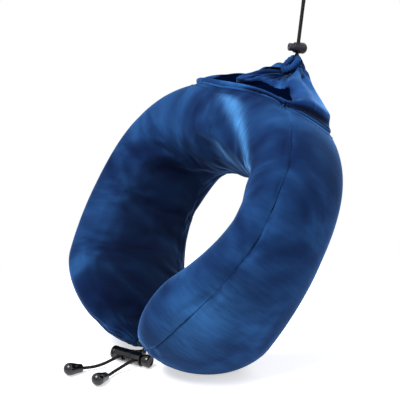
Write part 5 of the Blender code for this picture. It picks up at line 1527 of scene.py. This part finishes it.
# the cord's own braid, pulled tight into a knot: black, with its crossings drawn at 5.7 mm so that they show
knot_braid = fine_weave("tied_black_cord", "060608", "1B1B22", 5.655)
kept = {"zip_slider": slider_paint, "zip_pull": slider_paint,
        "zip_tape_front": zip_tape, "zip_tape_back": zip_tape, "zip_chain": zip_coil,
        "front_knot_left": knot_braid, "front_knot_right": knot_braid}
for name, material in kept.items():
    wear(bpy.data.objects[name], material)
print("nodes that keep their shape", len(kept))

# %% [markdown]
# ### Springs
# Each lock holds a small spring of round drawn steel wire behind its plunger, which shortens when the
# button goes in. Here it is a tube along a helix, at its length at rest.

# %% Springs
WIRE, SPRING_TURNS, COIL_SHARE = 0.0006, 3.0, 0.62


def spring(name, frame_matrix, start, end, radius, node):
    share = np.linspace(0.0, 1.0, 109)
    angle = 2.0 * math.pi * SPRING_TURNS * share
    helix = np.stack([start + (end - start) * share, radius * np.cos(angle), radius * np.sin(angle)], -1)
    made = cord_tube(name, put(frame_matrix, helix), WIRE, spring_wire, sides=10)
    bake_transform(made)
    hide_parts(node)
    print(name, round((end - start) / MM, 2), "mm long")
    return made


off_wall = RUN + WIRE / 2.0
top_wire = spring("bag_lock_spring_wire", TOP_LOCK, top_bore_end + off_wall, top_inner - off_wall,
                  top_bore * COIL_SHARE, "bag_lock_spring")
front_wire = spring("front_lock_spring_wire", FRONT_LOCK, front_bore_end + off_wall, front_inner - off_wall,
                    front_bore * COIL_SHARE, "front_lock_spring")

# %% [markdown]
# ## How long the cords are
# A cord is a rigid solid in the frame, but whoever uses this pillow may want to lay it another way. So the
# length of each cord is printed.

# %% Say how long the cords are
print("cords of", [round(length / MM, 1) for length in (bag_length, left_length, right_length)], "mm")

# %% [markdown]
# ## Painted shade
# Pockets, grooves and the inner side of the U are painted darker than the lamps alone leave them. Each
# point of the cloth measures its shelter, some places are marked by where they lie, and the velour's
# colour is darkened there as painted shade. Last, the cover's mesh is rounded once more.

# %% Painted shade on the bag and the hem
bag_tree, hem_tree = tree_of(bag), tree_of(hem)
cover_tree = tree_of(cover)
# painted shade: measured shelter, the pocket, the grooves and the right side wall darken the bag's colour
bag_shelter = shelter(bag, [bag_tree, cover_tree, hem_tree], reach=0.03, rays=24)
off_the_foot = 0.30 + 0.70 * ease((steps[:, None] - 0.3) / 0.6)
bag_shelter = np.minimum(bag_shelter.reshape(RINGS, AROUND), off_the_foot).ravel()
# painted shade: the bag's right side wall, low by the seam, is darkened
side_wall_shade = 0.80 * ease((to_right - 0.1) / 0.4) * ease((0.95 - steps[:, None]) / 0.35)
bag_shelter = np.maximum(bag_shelter, side_wall_shade.ravel())
bag_shelter = np.maximum(bag_shelter, np.maximum(0.95 * pocket_shade, 0.80 * groove_shade).ravel())
carry(bag, "shade_painted", "FLOAT", bag_shelter)
# painted shade: the hem's colour is darkened by its measured shelter
carry(hem, "shade_painted", "FLOAT", shelter(hem, [bag_tree, hem_tree], reach=0.008, rays=20))
carry(hem, "nap_place", "FLOAT_VECTOR", coordinates(hem.data))
print("the bag is sheltered", round(bag_shelter.max(), 2), "at most")

# %% Painted shade on the cover
# painted shade: shelter darkens the cover's colour, and the left arm's more, as the pile runs one way
# round the pillow and the left arm is seen straight into it
cover_shelter = shelter(cover, [cover_tree, bag_tree], reach=0.16, rays=16)
left_arm_shade = with_end_rows(0.50 * ease((-grid_run - 0.02) / 0.10))
carry(cover, "shade_painted", "FLOAT", np.minimum(cover_shelter * 1.1 + 0.7 * left_arm_shade.ravel(), 0.66))
soften(cover)
print("the cover is sheltered", round(cover_shelter.max(), 2), "at most")
